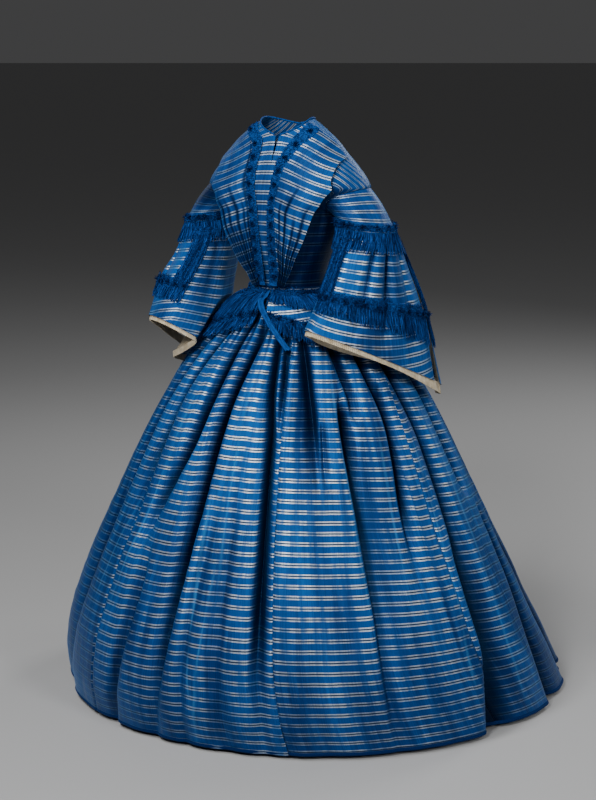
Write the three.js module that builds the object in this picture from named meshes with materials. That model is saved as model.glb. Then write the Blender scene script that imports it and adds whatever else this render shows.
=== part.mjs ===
// Day dress of about 1855 in striped silk: fitted bodice with pleated fan fronts, open bell sleeves,
// short basque and a full floor-length skirt of seven widths.
// Millimetres, +Z up, front faces -Y, the wearer's left is +X, origin at the centre of the waist.
import * as THREE from 'three';

// ---- driving sizes ---------------------------------------------------------------------------
const SKIRT_LENGTH = 1010;      // waist to hem, which ends 10 mm above the ground
const CLOTH = 1.4;              // wall of one layer of cloth
const SEAM_GAP = 0.3;           // between pieces that are sewn together
const LAYER_GAP = 0.4;          // between a panel and what lies on it
const TRIM = 2.2;               // thickness of a ruched trim
const TUFT = 3.2;               // how far a tuft stands above its trim
const STRIP = 1.6;              // thickness of a fringe's backing strip, and its gap to the panel
const STRIP_GAP = 0.95;
const LOCK_WIDTH = 7;           // one lock of fringe at its root and at its tip
const LOCK_TIP = 3;
const RIBBON_WIDTH = 22;

const SEAM_AZIMUTHS = [25, 76, 128, 179, 231, 282, 334, 385];   // seams between the seven widths
const SKIRT_COLUMNS = 16;       // grid cells across one width
const SKIRT_TOP = 12;           // drop of the skirt's upper edge, just under the waistband
const SKIRT_ROWS = [0, 0.018, 0.055, 0.12, 0.24, 0.42, 0.64, 0.86, 1];

// ---- tables ----------------------------------------------------------------------------------
// Skirt envelope: drop below the waist, half width, half depth, and how far the centre lies back.
const SKIRT = {
  drop: [12, 20, 32, 50, 80, 120, 270, 520, 770, 920, 1010],
  width: [95, 124, 145, 166, 198, 242, 337, 458, 570, 622, 640],
  depth: [84, 104, 120, 140, 172, 216, 333, 458, 570, 622, 640],
  back: [0, 5, 11, 20, 32, 42, 42, 38, 52, 94, 138],
};

// Skirt folds, each a valley that runs from the waist to the hem.
// waist and hem are azimuths in degrees, depth in mm at the hem, spread in degrees.
const FOLDS = [
  { waist: -3, hem: -7, depth: 24, spread: 4.5 },
  { waist: 20, hem: 20, depth: 22, spread: 4.0 },
  { waist: 36, hem: 35, depth: 12, spread: 4.0 },
  { waist: 50, hem: 49, depth: 28, spread: 4.5 },
  { waist: 70, hem: 59, depth: 26, spread: 4.0 },
  { waist: 88, hem: 70, depth: 44, spread: 4.5 },
  { waist: 98, hem: 83, depth: 16, spread: 4.0 },
  { waist: 108, hem: 102, depth: 50, spread: 5.0 },
  { waist: 121, hem: 119, depth: 26, spread: 4.5 },
  { waist: 135, hem: 134, depth: 38, spread: 5.0 },
  { waist: 150, hem: 149, depth: 28, spread: 4.5 },
  { waist: 164, hem: 164, depth: 42, spread: 5.0 },
  { waist: 178, hem: 180, depth: 30, spread: 4.5 },
  { waist: 193, hem: 195, depth: 38, spread: 5.0 },
  { waist: 208, hem: 211, depth: 26, spread: 4.5 },
  { waist: 222, hem: 226, depth: 40, spread: 5.0 },
  { waist: 236, hem: 241, depth: 24, spread: 4.5 },
  { waist: 250, hem: 256, depth: 36, spread: 5.0 },
  { waist: 264, hem: 270, depth: 24, spread: 4.5 },
  { waist: 278, hem: 283, depth: 32, spread: 5.0 },
  { waist: 291, hem: 296, depth: 22, spread: 4.5 },
  { waist: 304, hem: 307, depth: 28, spread: 4.5 },
  { waist: 317, hem: 318, depth: 22, spread: 4.0 },
  { waist: 331, hem: 331, depth: 26, spread: 4.5 },
  { waist: 344, hem: 341, depth: 20, spread: 4.0 },
];

// Bodice sections: height above the waist, half width, and reach to the front and to the back.
const BODICE = {
  z: [8, 40, 80, 120, 160, 190, 210, 230, 250, 266, 295, 330, 356, 383, 410],
  width: [92, 98, 112, 127, 138, 146, 168, 195, 221, 214, 192, 160, 137, 104, 64],
  front: [82, 90, 103, 111, 115, 113, 110, 106, 100, 96, 84, 69, 57, 49, 40],
  back: [80, 84, 90, 97, 103, 106, 107, 106, 103, 98, 86, 68, 57, 49, 44],
};
const NECK_START = 352;         // above this the rows close up to the neckline
const NECK_TOP = 400;
const NECK_FRONT = 366;         // neckline at the front V, its rise to the sides, and at the back
const NECK_RISE = 42;
const NECK_BACK = 392;
const ARMHOLE = { z: 219.5, height: 29.5, angle: 36 };
const ARM_CORNER = Math.SQRT1_2 * ARMHOLE.height;
const BODICE_ROWS = [
  400, 376, 352, 330, 295, 266, 249, 219.5 + ARM_CORNER, 219.5, 219.5 - ARM_CORNER, 190, 160, 120, 80, 40, 10,
];
const SIDE_SEAM = 48;           // azimuth of the seam between the front and its side piece

// Fan fronts: height, azimuth of the free edge, how far that edge stands off the bodice,
// and azimuth of the inner edge on the wearer's left and right.
const FAN = {
  z: [12, 20, 40, 57, 80, 120, 152, 200, 230, 260, 290, 310, 325, 360, 385, 405],
  edge: [24, 25, 29.6, 32.7, 35.6, 40.5, 43.2, 46, 45, 45, 51, 62, 80, 81, 82, 82],
  off: [13, 14, 16, 23, 29, 34, 38, 37, 25, 16, 14, 10, 6, 6, 8, 10],
  left: [2, 2, 3, 4, 4.3, 4.4, 4.4, 3.5, 3, 3, 4, 5, 8, 18, 36, 64],
  right: [5, 5, 4.5, 4.3, 4.3, 5, 5.6, 7, 8, 9, 11, 12, 12.5, 17, 36, 64],
};
const FAN_TOP_INNER = 400;
const FAN_TOP_OUTER = 325;
const FAN_BOTTOM = 12;
const FAN_LIFT = 3.4;           // distance of the fan's inner edge from the bodice
const FAN_RIBBON = 0.2;         // share of the columns that the ribbon trim covers
const FAN_COLUMNS = [0, 0.1, 0.2, 0.29, 0.38, 0.47, 0.56, 0.65, 0.74, 0.83, 0.92, 1];
const FAN_ROWS = [0, 0.03, 0.06, 0.1, 0.15, 0.23, 0.33, 0.44, 0.56, 0.68, 0.79, 0.88, 0.95, 1];
// Fan pleats: place across the fan, depth at the waist, and how far up they reach (0 to 1).
const PLEATS = [
  { at: 0.33, depth: 5, reach: 0.75 },
  { at: 0.51, depth: 6, reach: 0.85 },
  { at: 0.69, depth: 5, reach: 0.6 },
  { at: 0.87, depth: 6, reach: 0.7 },
];

// Sleeve sections, one table for each arm: front point, back point, half breadth and how much
// the outer side is lifted. The rows are the band's top and bottom, the bell's middle and its hem.
const SLEEVES = {
  L: {
    side: 1,
    at: [0, 0.07, 0.3, 0.6, 1],
    front: [[205, -70, 172], [207, -74, 150], [198, -105, 85], [185, -150, 10], [170, -200, -70]],
    back: [[222, 64, 168], [230, 68, 146], [262, 88, 68], [300, 118, -45], [340, 150, -235]],
    breadth: [66, 69, 76, 80, 72],
    lift: [-8, -8, -4, 0, 0],
  },
  R: {
    side: -1,
    at: [0, 0.07, 0.3, 0.6, 1],
    front: [[-205, -70, 172], [-207, -74, 150], [-203, -105, 85], [-205, -150, 10], [-205, -200, -85]],
    back: [[-222, 64, 168], [-232, 68, 146], [-264, 88, 68], [-318, 118, -30], [-340, 140, -205]],
    breadth: [66, 69, 77, 88, 98],
    lift: [-8, -8, 0, 20, 46],
  },
};
// Columns of the bell: share of the way round, and the angle at its top and at its hem
// (0 at the front of the arm, 90 outside, 180 behind).
const BELL_FRONT = {
  share: [0, 0.28, 0.4, 1],
  top: [-90, -28, 4, 138],
  hem: [-90, 8, 30, 138],
};
const BELL_BACK = {
  share: [0, 1],
  top: [142, 270],
  hem: [148, 270],
};
const BELL_FRONT_COLUMNS = [0, 0.09, 0.18, 0.28, 0.34, 0.4, 0.49, 0.58, 0.66, 0.74, 0.82, 0.91, 1];
const BELL_BACK_COLUMNS = [0, 0.14, 0.3, 0.48, 0.66, 0.84, 1];
const BELL_ROWS = [0.068, 0.15, 0.25, 0.4, 0.57, 0.58, 0.67, 0.7, 0.84, 1];
// Bell pleats: angle at the top and at the hem, depth and spread in degrees.
const BELL_PLEATS = [
  { top: 62, hem: 58, depth: 9, spread: 9 },
  { top: 92, hem: 84, depth: 13, spread: 9 },
  { top: 200, hem: 205, depth: 9, spread: 11 },
  { top: -42, hem: -30, depth: 7, spread: 10 },
];
const BELL_SIDE_TRIM = [2, 4];   // rows of the trims on the bell: down its side, along its hem,
const BELL_HEM_TRIM = [5, 6];    // and the strip that its fringe hangs from
const BELL_STRIP = [6, 7];
const BELL_LAST = [8, 9];
const LINING = 1.2;
const FRILL = { front: 22, back: 10, depth: 2, inside: 7, top: 1, drop: 12 };
const SLEEVE_CLEAR = 32;        // least distance of the bell from the skirt's envelope

// Basque: azimuth, and its length there, measured down the skirt.
const BASQUE = { azimuth: [0, 25, 60, 100, 140, 180], length: [62, 84, 112, 118, 112, 106] };
const BASQUE_SEAMS = [4, 115, 245, 356];
const BASQUE_ROWS = [0, 0.08, 0.18, 0.28, 0.5, 0.74, 0.9, 1];
const BASQUE_STRIP = [2, 3];     // rows of the fringe strip near the waist, of the trim on the edge,
const BASQUE_TRIM = [5, 6];      // and of the strip under that trim
const BASQUE_EDGE = [6, 7];

// Ribbon tail from the waist centre: drop, azimuth of its middle, and how far it stands off the skirt's envelope.
const TAIL = {
  width: 20,
  drop: [0, 8, 16, 30, 60, 95, 130],
  azimuth: [-4, -3.5, -3, 0, 8, 17, 25],
  off: [2.6, 13, 19, 21, 21, 22, 23],
};

// ---- small helpers ---------------------------------------------------------------------------
const radians = THREE.MathUtils.degToRad;
const lerp = THREE.MathUtils.lerp;
const clamp = THREE.MathUtils.clamp;

// Smooth value from a table: monotone cubic through the rows of xs (rising) and ys.
function table(xs, ys, x) {
  const last = xs.length - 1;
  if (x <= xs[0]) return ys[0];
  if (x >= xs[last]) return ys[last];
  let k = 0;
  while (x > xs[k + 1]) k += 1;
  const slope = (i) => (ys[i + 1] - ys[i]) / (xs[i + 1] - xs[i]);
  const tangent = (i) => {
    if (i === 0) return slope(0);
    if (i === last) return slope(last - 1);
    const a = slope(i - 1);
    const b = slope(i);
    return a * b <= 0 ? 0 : (2 * a * b) / (a + b);
  };
  const h = xs[k + 1] - xs[k];
  const t = (x - xs[k]) / h;
  const rise = ys[k] * (2 * t ** 3 - 3 * t ** 2 + 1) + ys[k + 1] * (3 * t ** 2 - 2 * t ** 3);
  return rise + h * (tangent(k) * (t ** 3 - 2 * t ** 2 + t) + tangent(k + 1) * (t ** 3 - t ** 2));
}

function straight(xs, ys, x) {
  let k = 0;
  while (k < xs.length - 2 && x > xs[k + 1]) k += 1;
  return lerp(ys[k], ys[k + 1], clamp((x - xs[k]) / (xs[k + 1] - xs[k]), 0, 1));
}

function tablePoint(at, points, x) {
  const axis = (n) => table(at, points.map((p) => p[n]), x);
  return new THREE.Vector3(axis(0), axis(1), axis(2));
}

function turn(degrees) {
  return ((((degrees + 180) % 360) + 360) % 360) - 180;
}

function steps(count, from = 0, to = 1) {
  return Array.from({ length: count + 1 }, (_, k) => lerp(from, to, k / count));
}

// A grid of points on a surface. u runs round the body with the azimuth, v runs down.
// ends says whether the first and last columns are drawn in for a seam; close joins them.
function makeGrid(surface, us, vs, { close = false, seams = [true, true] } = {}) {
  const STEP = 1e-3;
  const columns = close ? us.length - 1 : us.length;
  const span = us[us.length - 1] - us[0];
  const points = [];
  const normals = [];
  for (const v of vs) {
    const row = [];
    const out = [];
    for (let i = 0; i < columns; i += 1) {
      let u = us[i];
      const du = STEP * span;
      const across = surface(u + du, v).sub(surface(u - du, v)).divideScalar(2 * du);
      if (!close && i === 0 && seams[0]) u += SEAM_GAP / 2 / Math.max(across.length(), 1e-6);
      if (!close && i === columns - 1 && seams[1]) u -= SEAM_GAP / 2 / Math.max(across.length(), 1e-6);
      const dv = STEP * (vs[vs.length - 1] - vs[0]);
      const down = surface(u, v + dv).sub(surface(u, v - dv));
      row.push(surface(u, v));
      out.push(down.cross(across).normalize());
    }
    points.push(row);
    normals.push(out);
  }
  return { us, vs, points, normals, close, columns };
}

// The part of a grid between two columns and two rows.
function cut(grid, [i0, i1], [j0, j1]) {
  const rows = (from) => from.slice(j0, j1 + 1).map((row) => row.slice(i0, i1 + 1));
  return {
    us: grid.us.slice(i0, i1 + 1),
    vs: grid.vs.slice(j0, j1 + 1),
    points: rows(grid.points),
    normals: rows(grid.normals),
    close: grid.close && i1 - i0 + 1 >= grid.columns,
    columns: Math.min(i1, grid.columns - 1) - i0 + 1,
  };
}

// A closed wall over a grid, from `inside` to `outside` along the normals. bump(i, j) adds to the outside.
function wallArrays(grid, inside, outside, bump = () => 0) {
  const n = grid.columns;
  const m = grid.vs.length;
  const vertices = [];
  for (const outer of [false, true]) {
    for (let j = 0; j < m; j += 1) {
      for (let i = 0; i < n; i += 1) {
        const off = outer ? outside + bump(i, j) : inside;
        const p = grid.points[j][i].clone().addScaledVector(grid.normals[j][i], off);
        vertices.push(p.x, p.y, p.z);
      }
    }
  }
  const inner = (i, j) => j * n + (i % n);
  const outer = (i, j) => n * m + j * n + (i % n);
  const faces = [];
  const cells = grid.close ? n : n - 1;
  for (let j = 0; j < m - 1; j += 1) {
    for (let i = 0; i < cells; i += 1) {
      const [a, b, c, d] = [outer(i, j), outer(i + 1, j), outer(i + 1, j + 1), outer(i, j + 1)];
      const [e, f, g, h] = [inner(i, j), inner(i + 1, j), inner(i + 1, j + 1), inner(i, j + 1)];
      faces.push(a, d, c, a, c, b, e, g, h, e, f, g);
    }
  }
  for (let i = 0; i < cells; i += 1) {
    const [a, b, e, f] = [outer(i, 0), outer(i + 1, 0), inner(i, 0), inner(i + 1, 0)];
    const [d, c, h, g] = [outer(i, m - 1), outer(i + 1, m - 1), inner(i, m - 1), inner(i + 1, m - 1)];
    faces.push(a, b, f, a, f, e, c, d, h, c, h, g);
  }
  for (let j = 0; j < m - 1 && !grid.close; j += 1) {
    const [a, d, e, h] = [outer(0, j), outer(0, j + 1), inner(0, j), inner(0, j + 1)];
    const [b, c, f, g] = [outer(n - 1, j), outer(n - 1, j + 1), inner(n - 1, j), inner(n - 1, j + 1)];
    faces.push(a, e, h, a, h, d, b, c, g, b, g, f);
  }
  return { vertices, faces };
}

function geometryOf({ vertices, faces }) {
  const geometry = new THREE.BufferGeometry();
  geometry.setAttribute('position', new THREE.Float32BufferAttribute(vertices, 3));
  geometry.setIndex(faces);
  return geometry;
}

// Point, normal and sideways direction on a grid's facets at (u, v); past the last row it goes on straight.
function onGrid(grid, u, v) {
  const find = (list, x) => {
    let k = 0;
    while (k < list.length - 2 && x > list[k + 1]) k += 1;
    return [k, (x - list[k]) / (list[k + 1] - list[k])];
  };
  const span = grid.us[grid.us.length - 1] - grid.us[0];
  const [i, s] = find(grid.us, grid.close ? ((u % span) + span) % span : u);
  const [j, t] = find(grid.vs, v);
  const next = grid.close ? (i + 1) % grid.columns : i + 1;
  const pick = (from) => {
    const [a, b, c, d] = [from[j][i], from[j][next], from[j + 1][next], from[j + 1][i]];
    const out = a.clone();
    if (s > t && t <= 1) {
      return out.addScaledVector(b.clone().sub(a), s).addScaledVector(c.clone().sub(b), t);
    }
    return out.addScaledVector(d.clone().sub(a), t).addScaledVector(c.clone().sub(d), s);
  };
  const side = grid.points[j][next].clone().sub(grid.points[j][i]).normalize();
  return { point: pick(grid.points), normal: pick(grid.normals).normalize(), side };
}

// A strip on the grid's columns and rows with a lock hanging at each column and `extra` between, all one
// body. tipAt(u, share) gives a lock's tip, which `lift` holds off the cloth; share varies from lock to lock.
function fringe(grid, [i0, i1], [j0, j1], extra, lift, tipAt) {
  const top = lerp(grid.vs[j0], grid.vs[j1], 0.12);
  const locks = [];
  for (let i = i0; i <= i1; i += 1) {
    if (grid.close && i === i1) break;
    const k = Math.min(i, i1 - 1);
    const step = grid.us[k + 1] - grid.us[k];
    const length = onGrid(grid, grid.us[k + 1] - step * 1e-6, grid.vs[j1]).point
      .distanceTo(onGrid(grid, grid.us[k] + step * 1e-6, grid.vs[j1]).point);
    const half = (LOCK_WIDTH / 2 / length) * step;
    const inset = grid.close ? 0 : half * 1.05;
    locks.push([clamp(grid.us[i], grid.us[i0] + inset, grid.us[i1] - inset), half]);
    for (let n = 1; n <= extra && i < i1; n += 1) {
      locks.push([grid.us[i] + (step * n) / (extra + 1), half]);
    }
  }
  const stations = locks.flatMap(([u, half]) => [u - half, u + half]);
  const vertices = [];
  const put = (at, off, sideways = 0) => {
    const p = at.point.clone().addScaledVector(at.normal, off).addScaledVector(at.side, sideways);
    vertices.push(p.x, p.y, p.z);
  };
  for (const u of stations) {
    for (const v of [top, grid.vs[j1]]) {
      const at = onGrid(grid, u, v);
      put(at, STRIP_GAP + STRIP);
      put(at, STRIP_GAP);
    }
  }
  locks.forEach(([u], k) => {
    const { side } = onGrid(grid, u, grid.vs[j1]);
    const tip = { ...tipAt(u, 1 + 0.12 * Math.sin(2.4 * k)), side };
    put(tip, STRIP_GAP + STRIP / 2 + lift, -LOCK_TIP / 2);
    put(tip, STRIP_GAP + STRIP / 2 + lift, LOCK_TIP / 2);
  });
  const count = stations.length;
  const faces = [];
  for (let k = 0; k < (grid.close ? count : count - 1); k += 1) {
    const next = (k + 1) % count;
    const [a, e, d, h] = [4 * k, 4 * k + 1, 4 * k + 2, 4 * k + 3];
    const [b, f, c, g] = [4 * next, 4 * next + 1, 4 * next + 2, 4 * next + 3];
    faces.push(a, d, c, a, c, b, e, g, h, e, f, g, a, b, f, a, f, e);
    if (k % 2) {
      faces.push(c, d, h, c, h, g);
    } else {
      const [left, right] = [4 * count + k, 4 * count + k + 1];
      faces.push(d, left, right, d, right, c, h, right, left, h, g, right, d, h, left, c, right, g);
    }
  }
  if (!grid.close) {
    const [b, f, c, g] = [4 * count - 4, 4 * count - 3, 4 * count - 2, 4 * count - 1];
    faces.push(0, 1, 3, 0, 3, 2, b, c, g, b, g, f);
  }
  return geometryOf({ vertices, faces });
}

// ---- surfaces --------------------------------------------------------------------------------
function skirtEnvelope(azimuth, drop) {
  const a = radians(azimuth);
  const width = table(SKIRT.drop, SKIRT.width, drop);
  const depth = table(SKIRT.drop, SKIRT.depth, drop);
  const back = table(SKIRT.drop, SKIRT.back, drop);
  return new THREE.Vector3(width * Math.sin(a), back - depth * Math.cos(a), -drop);
}

function foldDepth(azimuth, v) {
  const grown = THREE.MathUtils.smoothstep(v, -0.15, 0.9);
  return FOLDS.reduce((sum, fold) => {
    const away = turn(azimuth - lerp(fold.waist, fold.hem, v)) / fold.spread;
    return sum + fold.depth * grown * Math.exp(-away * away);
  }, 0);
}

function skirtSurface(azimuth, v) {
  const drop = lerp(SKIRT_TOP, SKIRT_LENGTH, v);
  const point = skirtEnvelope(azimuth, drop);
  const centre = new THREE.Vector3(0, table(SKIRT.drop, SKIRT.back, drop), -drop);
  const inward = centre.sub(point).setZ(0).normalize();
  return point.addScaledVector(inward, foldDepth(azimuth, v));
}

function bodySurface(azimuth, z) {
  const a = radians(azimuth);
  const width = table(BODICE.z, BODICE.width, z);
  const reach = table(BODICE.z, Math.cos(a) > 0 ? BODICE.front : BODICE.back, z);
  return new THREE.Vector3(width * Math.sin(a), -reach * Math.cos(a), z);
}

function neckline(azimuth) {
  const a = radians(azimuth);
  const rise = Math.abs(Math.sin(a));
  if (Math.cos(a) > 0) return NECK_FRONT + NECK_RISE * rise;
  return NECK_BACK + (NECK_FRONT + NECK_RISE - NECK_BACK) * rise;
}

// Row heights above NECK_START are drawn together so that the top row follows the neckline.
function bodiceHeight(azimuth, row) {
  if (row <= NECK_START) return row;
  return lerp(NECK_START, neckline(azimuth), (row - NECK_START) / (NECK_TOP - NECK_START));
}

function armholeReach(z) {
  const part = clamp(Math.abs(z - ARMHOLE.z) / ARMHOLE.height, 0, 1);
  return ARMHOLE.angle * Math.sqrt(1 - part * part);
}

// u from 0 to 1 between two edges, each a function of the height; v is minus the row height.
function bodicePanel(from, to) {
  return (u, v) => {
    const azimuth = lerp(from(-v), to(-v), u);
    return bodySurface(azimuth, bodiceHeight(azimuth, -v));
  };
}

function fanSurface(side) {
  const inner = side > 0 ? FAN.left : FAN.right;
  return (share, v) => {
    const zInner = lerp(FAN_TOP_INNER, FAN_BOTTOM, v);
    const zOuter = lerp(FAN_TOP_OUTER, FAN_BOTTOM, v);
    const across = side > 0 ? share : 1 - share;
    const z = lerp(zInner, zOuter, across);
    const innerAngle = table(FAN.z, inner, zInner);
    const ribbonAngle = innerAngle + THREE.MathUtils.radToDeg(RIBBON_WIDTH / table(BODICE.z, BODICE.width, zInner));
    const edgeAngle = Math.max(table(FAN.z, FAN.edge, zOuter), ribbonAngle + 1);
    const ribbon = Math.min(ribbonAngle, lerp(innerAngle, edgeAngle, 0.5));
    const azimuth = straight([0, FAN_RIBBON, 1], [innerAngle, ribbon, edgeAngle], across);
    const off = lerp(FAN_LIFT, table(FAN.z, FAN.off, zOuter), THREE.MathUtils.smoothstep(across, 0, 1));
    const pleat = PLEATS.reduce((sum, p) => {
      const away = (across - p.at) / 0.055;
      const grown = THREE.MathUtils.smoothstep(v, 1 - p.reach, 1);
      return sum + p.depth * grown * Math.exp(-away * away);
    }, 0);
    const waist = 8 * THREE.MathUtils.smoothstep(v, 0.7, 1);
    const a = radians(azimuth);
    const grow = off + waist - pleat * 0.8;
    const base = bodySurface(azimuth, z);
    return new THREE.Vector3(side * (base.x + grow * Math.sin(a)), base.y - grow * Math.cos(a), base.z);
  };
}

// Angle round the arm for a share of the way across a bell panel.
function bellAngle(panel, share, v) {
  const down = clamp(v, 0, 1);
  return lerp(straight(panel.share, panel.top, share), straight(panel.share, panel.hem, share), down);
}

function sleeveRing(arm, angle, at) {
  const front = tablePoint(arm.at, arm.front, at);
  const back = tablePoint(arm.at, arm.back, at);
  const centre = front.clone().add(back).divideScalar(2);
  const long = front.clone().sub(back).divideScalar(2);
  const breadth = table(arm.at, arm.breadth, at);
  const outward = new THREE.Vector3(-long.y, long.x, 0).normalize().multiplyScalar(arm.side * breadth);
  outward.z = table(arm.at, arm.lift, at);
  const a = radians(angle);
  return centre.addScaledVector(long, Math.cos(a)).addScaledVector(outward, Math.sin(a));
}

function bellSurface(arm, panel) {
  return (u, v) => {
    const angle = bellAngle(panel, arm.side > 0 ? u : 1 - u, v);
    const point = sleeveRing(arm, angle, v);
    const grown = THREE.MathUtils.smoothstep(v, 0.06, 0.25) * (1 - THREE.MathUtils.smoothstep(v, 0.5, 0.9));
    const depth = BELL_PLEATS.reduce((sum, p) => {
      const away = turn(angle - lerp(p.top, p.hem, v)) / p.spread;
      return sum + p.depth * grown * Math.exp(-away * away);
    }, 0);
    const centre = sleeveRing(arm, 0, v).add(sleeveRing(arm, 180, v)).divideScalar(2);
    return clearOfSkirt(point.addScaledVector(centre.sub(point).normalize(), depth), SLEEVE_CLEAR);
  };
}

// Moves a point out to `margin` from the skirt's envelope where it would come closer than that.
function clearOfSkirt(point, margin) {
  const drop = -point.z;
  const width = table(SKIRT.drop, SKIRT.width, drop) + margin;
  const depth = table(SKIRT.drop, SKIRT.depth, drop) + margin;
  const back = table(SKIRT.drop, SKIRT.back, drop);
  const share = Math.hypot(point.x / width, (point.y - back) / depth);
  const grow = Math.max(1 / share, 1);
  point.x *= grow;
  point.y = back + (point.y - back) * grow;
  return point;
}

// The armhole's corner points, and the straight stretches between them.
function armholePoint(side, angle) {
  const corner = (a) => {
    const p = bodySurface(90 - ARMHOLE.angle * Math.cos(radians(a)), ARMHOLE.z + ARMHOLE.height * Math.sin(radians(a)));
    return new THREE.Vector3(side * p.x, p.y, p.z);
  };
  const k = Math.floor(angle / 45);
  return corner(k * 45).lerp(corner((k + 1) * 45), angle / 45 - k);
}

function upperSleeve(arm) {
  const along = new THREE.Vector3(arm.side * 0.62, 0, -0.78);
  return (u, v) => {
    const angle = arm.side > 0 ? u : -u;
    const start = armholePoint(arm.side, angle).addScaledVector(along, 0.7);
    const end = sleeveRing(arm, angle, v > 1 ? (v - 1) * 0.07 : 0);
    const bulge = 5 * Math.sin(Math.PI * clamp(v, 0, 1)) * Math.max(0, Math.sin(radians(angle)));
    return start.lerp(end, clamp(v, 0, 1)).add(new THREE.Vector3(arm.side * bulge, 0, bulge * 0.7));
  };
}

// Basque surface: v from 0 at the waist to 1 at its edge, just clear of the skirt below.
function basqueSurface(azimuth, v) {
  const around = Math.abs(turn(azimuth));
  const length = table(BASQUE.azimuth, BASQUE.length, around);
  const drop = lerp(-6, length, v);
  const clear = lerp(0.8, 6, THREE.MathUtils.smoothstep(v, 0.02, 0.25));
  const point = skirtEnvelope(azimuth, drop);
  const centre = new THREE.Vector3(0, table(SKIRT.drop, SKIRT.back, drop), point.z);
  point.addScaledVector(point.clone().sub(centre).normalize(), clear);
  point.z = -drop;
  return point;
}

// ---- materials -------------------------------------------------------------------------------
const SILK = { color: 0x1b58a8, roughness: 0.42, metalness: 0 };
const TRIMMING = { color: 0x153f8c, roughness: 0.7, metalness: 0 };
const CREAM = { color: 0xd8cbb0, roughness: 0.6, metalness: 0 };

const dress = new THREE.Group();
function add(name, geometry, look) {
  const mesh = new THREE.Mesh(geometry, new THREE.MeshStandardMaterial(look));
  mesh.name = name;
  dress.add(mesh);
}
function addWall(name, grid, inside, outside, look, bump) {
  add(name, geometryOf(wallArrays(grid, inside, outside, bump)), look);
}

// ---- skirt -----------------------------------------------------------------------------------
for (let k = 0; k < SEAM_AZIMUTHS.length - 1; k += 1) {
  const columns = steps(SKIRT_COLUMNS, SEAM_AZIMUTHS[k], SEAM_AZIMUTHS[k + 1]);
  addWall(`skirt_width_${k + 1}`, makeGrid(skirtSurface, columns, SKIRT_ROWS), -CLOTH, 0, SILK);
}

// ---- waistband -------------------------------------------------------------------------------
const waistband = (azimuth, z) => {
  const a = radians(azimuth);
  return new THREE.Vector3(93 * Math.sin(a), -82 * Math.cos(a), -z);
};
addWall('waistband', makeGrid(waistband, steps(32, 0, 360), [-9.6, 11.6], { close: true }), -CLOTH, 0, SILK);

// ---- bodice ----------------------------------------------------------------------------------
const bodiceRows = BODICE_ROWS.map((row) => -row);
const frontOpening = (z) => lerp(0, 2.2, THREE.MathUtils.smoothstep(z, 290, 400));
const armholeFront = (z) => 90 - armholeReach(z);
const constant = (value) => () => value;
const mirrored = (edge) => (z) => -edge(z);
const frontGrids = {
  L: makeGrid(bodicePanel(frontOpening, constant(SIDE_SEAM)), steps(4), bodiceRows),
  R: makeGrid(bodicePanel(constant(-SIDE_SEAM), mirrored(frontOpening)), steps(4), bodiceRows),
};
const sideGrids = {
  L: makeGrid(bodicePanel(constant(SIDE_SEAM), armholeFront), steps(4), bodiceRows),
  R: makeGrid(bodicePanel(mirrored(armholeFront), constant(-SIDE_SEAM)), steps(4), bodiceRows),
};
for (const name of ['L', 'R']) {
  addWall(`bodice_front_${name}`, frontGrids[name], -CLOTH, 0, SILK);
  addWall(`bodice_side_${name}`, sideGrids[name], -CLOTH, 0, SILK);
}
const backPanel = bodicePanel((z) => 90 + armholeReach(z), (z) => 270 - armholeReach(z));
addWall('bodice_back', makeGrid(backPanel, steps(12), bodiceRows), -CLOTH, 0, SILK);

// ---- fan fronts and their ribbon trims -------------------------------------------------------
for (const [name, side] of [['L', 1], ['R', -1]]) {
  const columns = side > 0 ? FAN_COLUMNS : FAN_COLUMNS.map((c) => 1 - c).reverse();
  const grid = makeGrid(fanSurface(side), columns, FAN_ROWS, { seams: [false, false] });
  addWall(`fan_front_${name}`, grid, -CLOTH, 0, SILK);
  const last = columns.length - 1;
  const ribbon = cut(grid, side > 0 ? [0, 2] : [last - 2, last], [0, FAN_ROWS.length - 1]);
  const outer = side > 0 ? 2 : 0;
  const tuft = (i, j) => (i === outer && j % 2 === 1 ? TUFT : 0);
  addWall(`front_ribbon_${name}`, ribbon, LAYER_GAP, LAYER_GAP + TRIM, TRIMMING, tuft);
}

// ---- sleeves ---------------------------------------------------------------------------------
const UPPER_ROWS = [0, 0.5, 1, 1.65, 1.95];
const SLEEVE_RING = steps(16, 0, 360);
function ringTip(arm, angle, at) {
  const point = sleeveRing(arm, angle, at);
  const centre = sleeveRing(arm, 0, at).add(sleeveRing(arm, 180, at)).divideScalar(2);
  return { point, normal: point.clone().sub(centre).setZ(0).normalize() };
}
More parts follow.
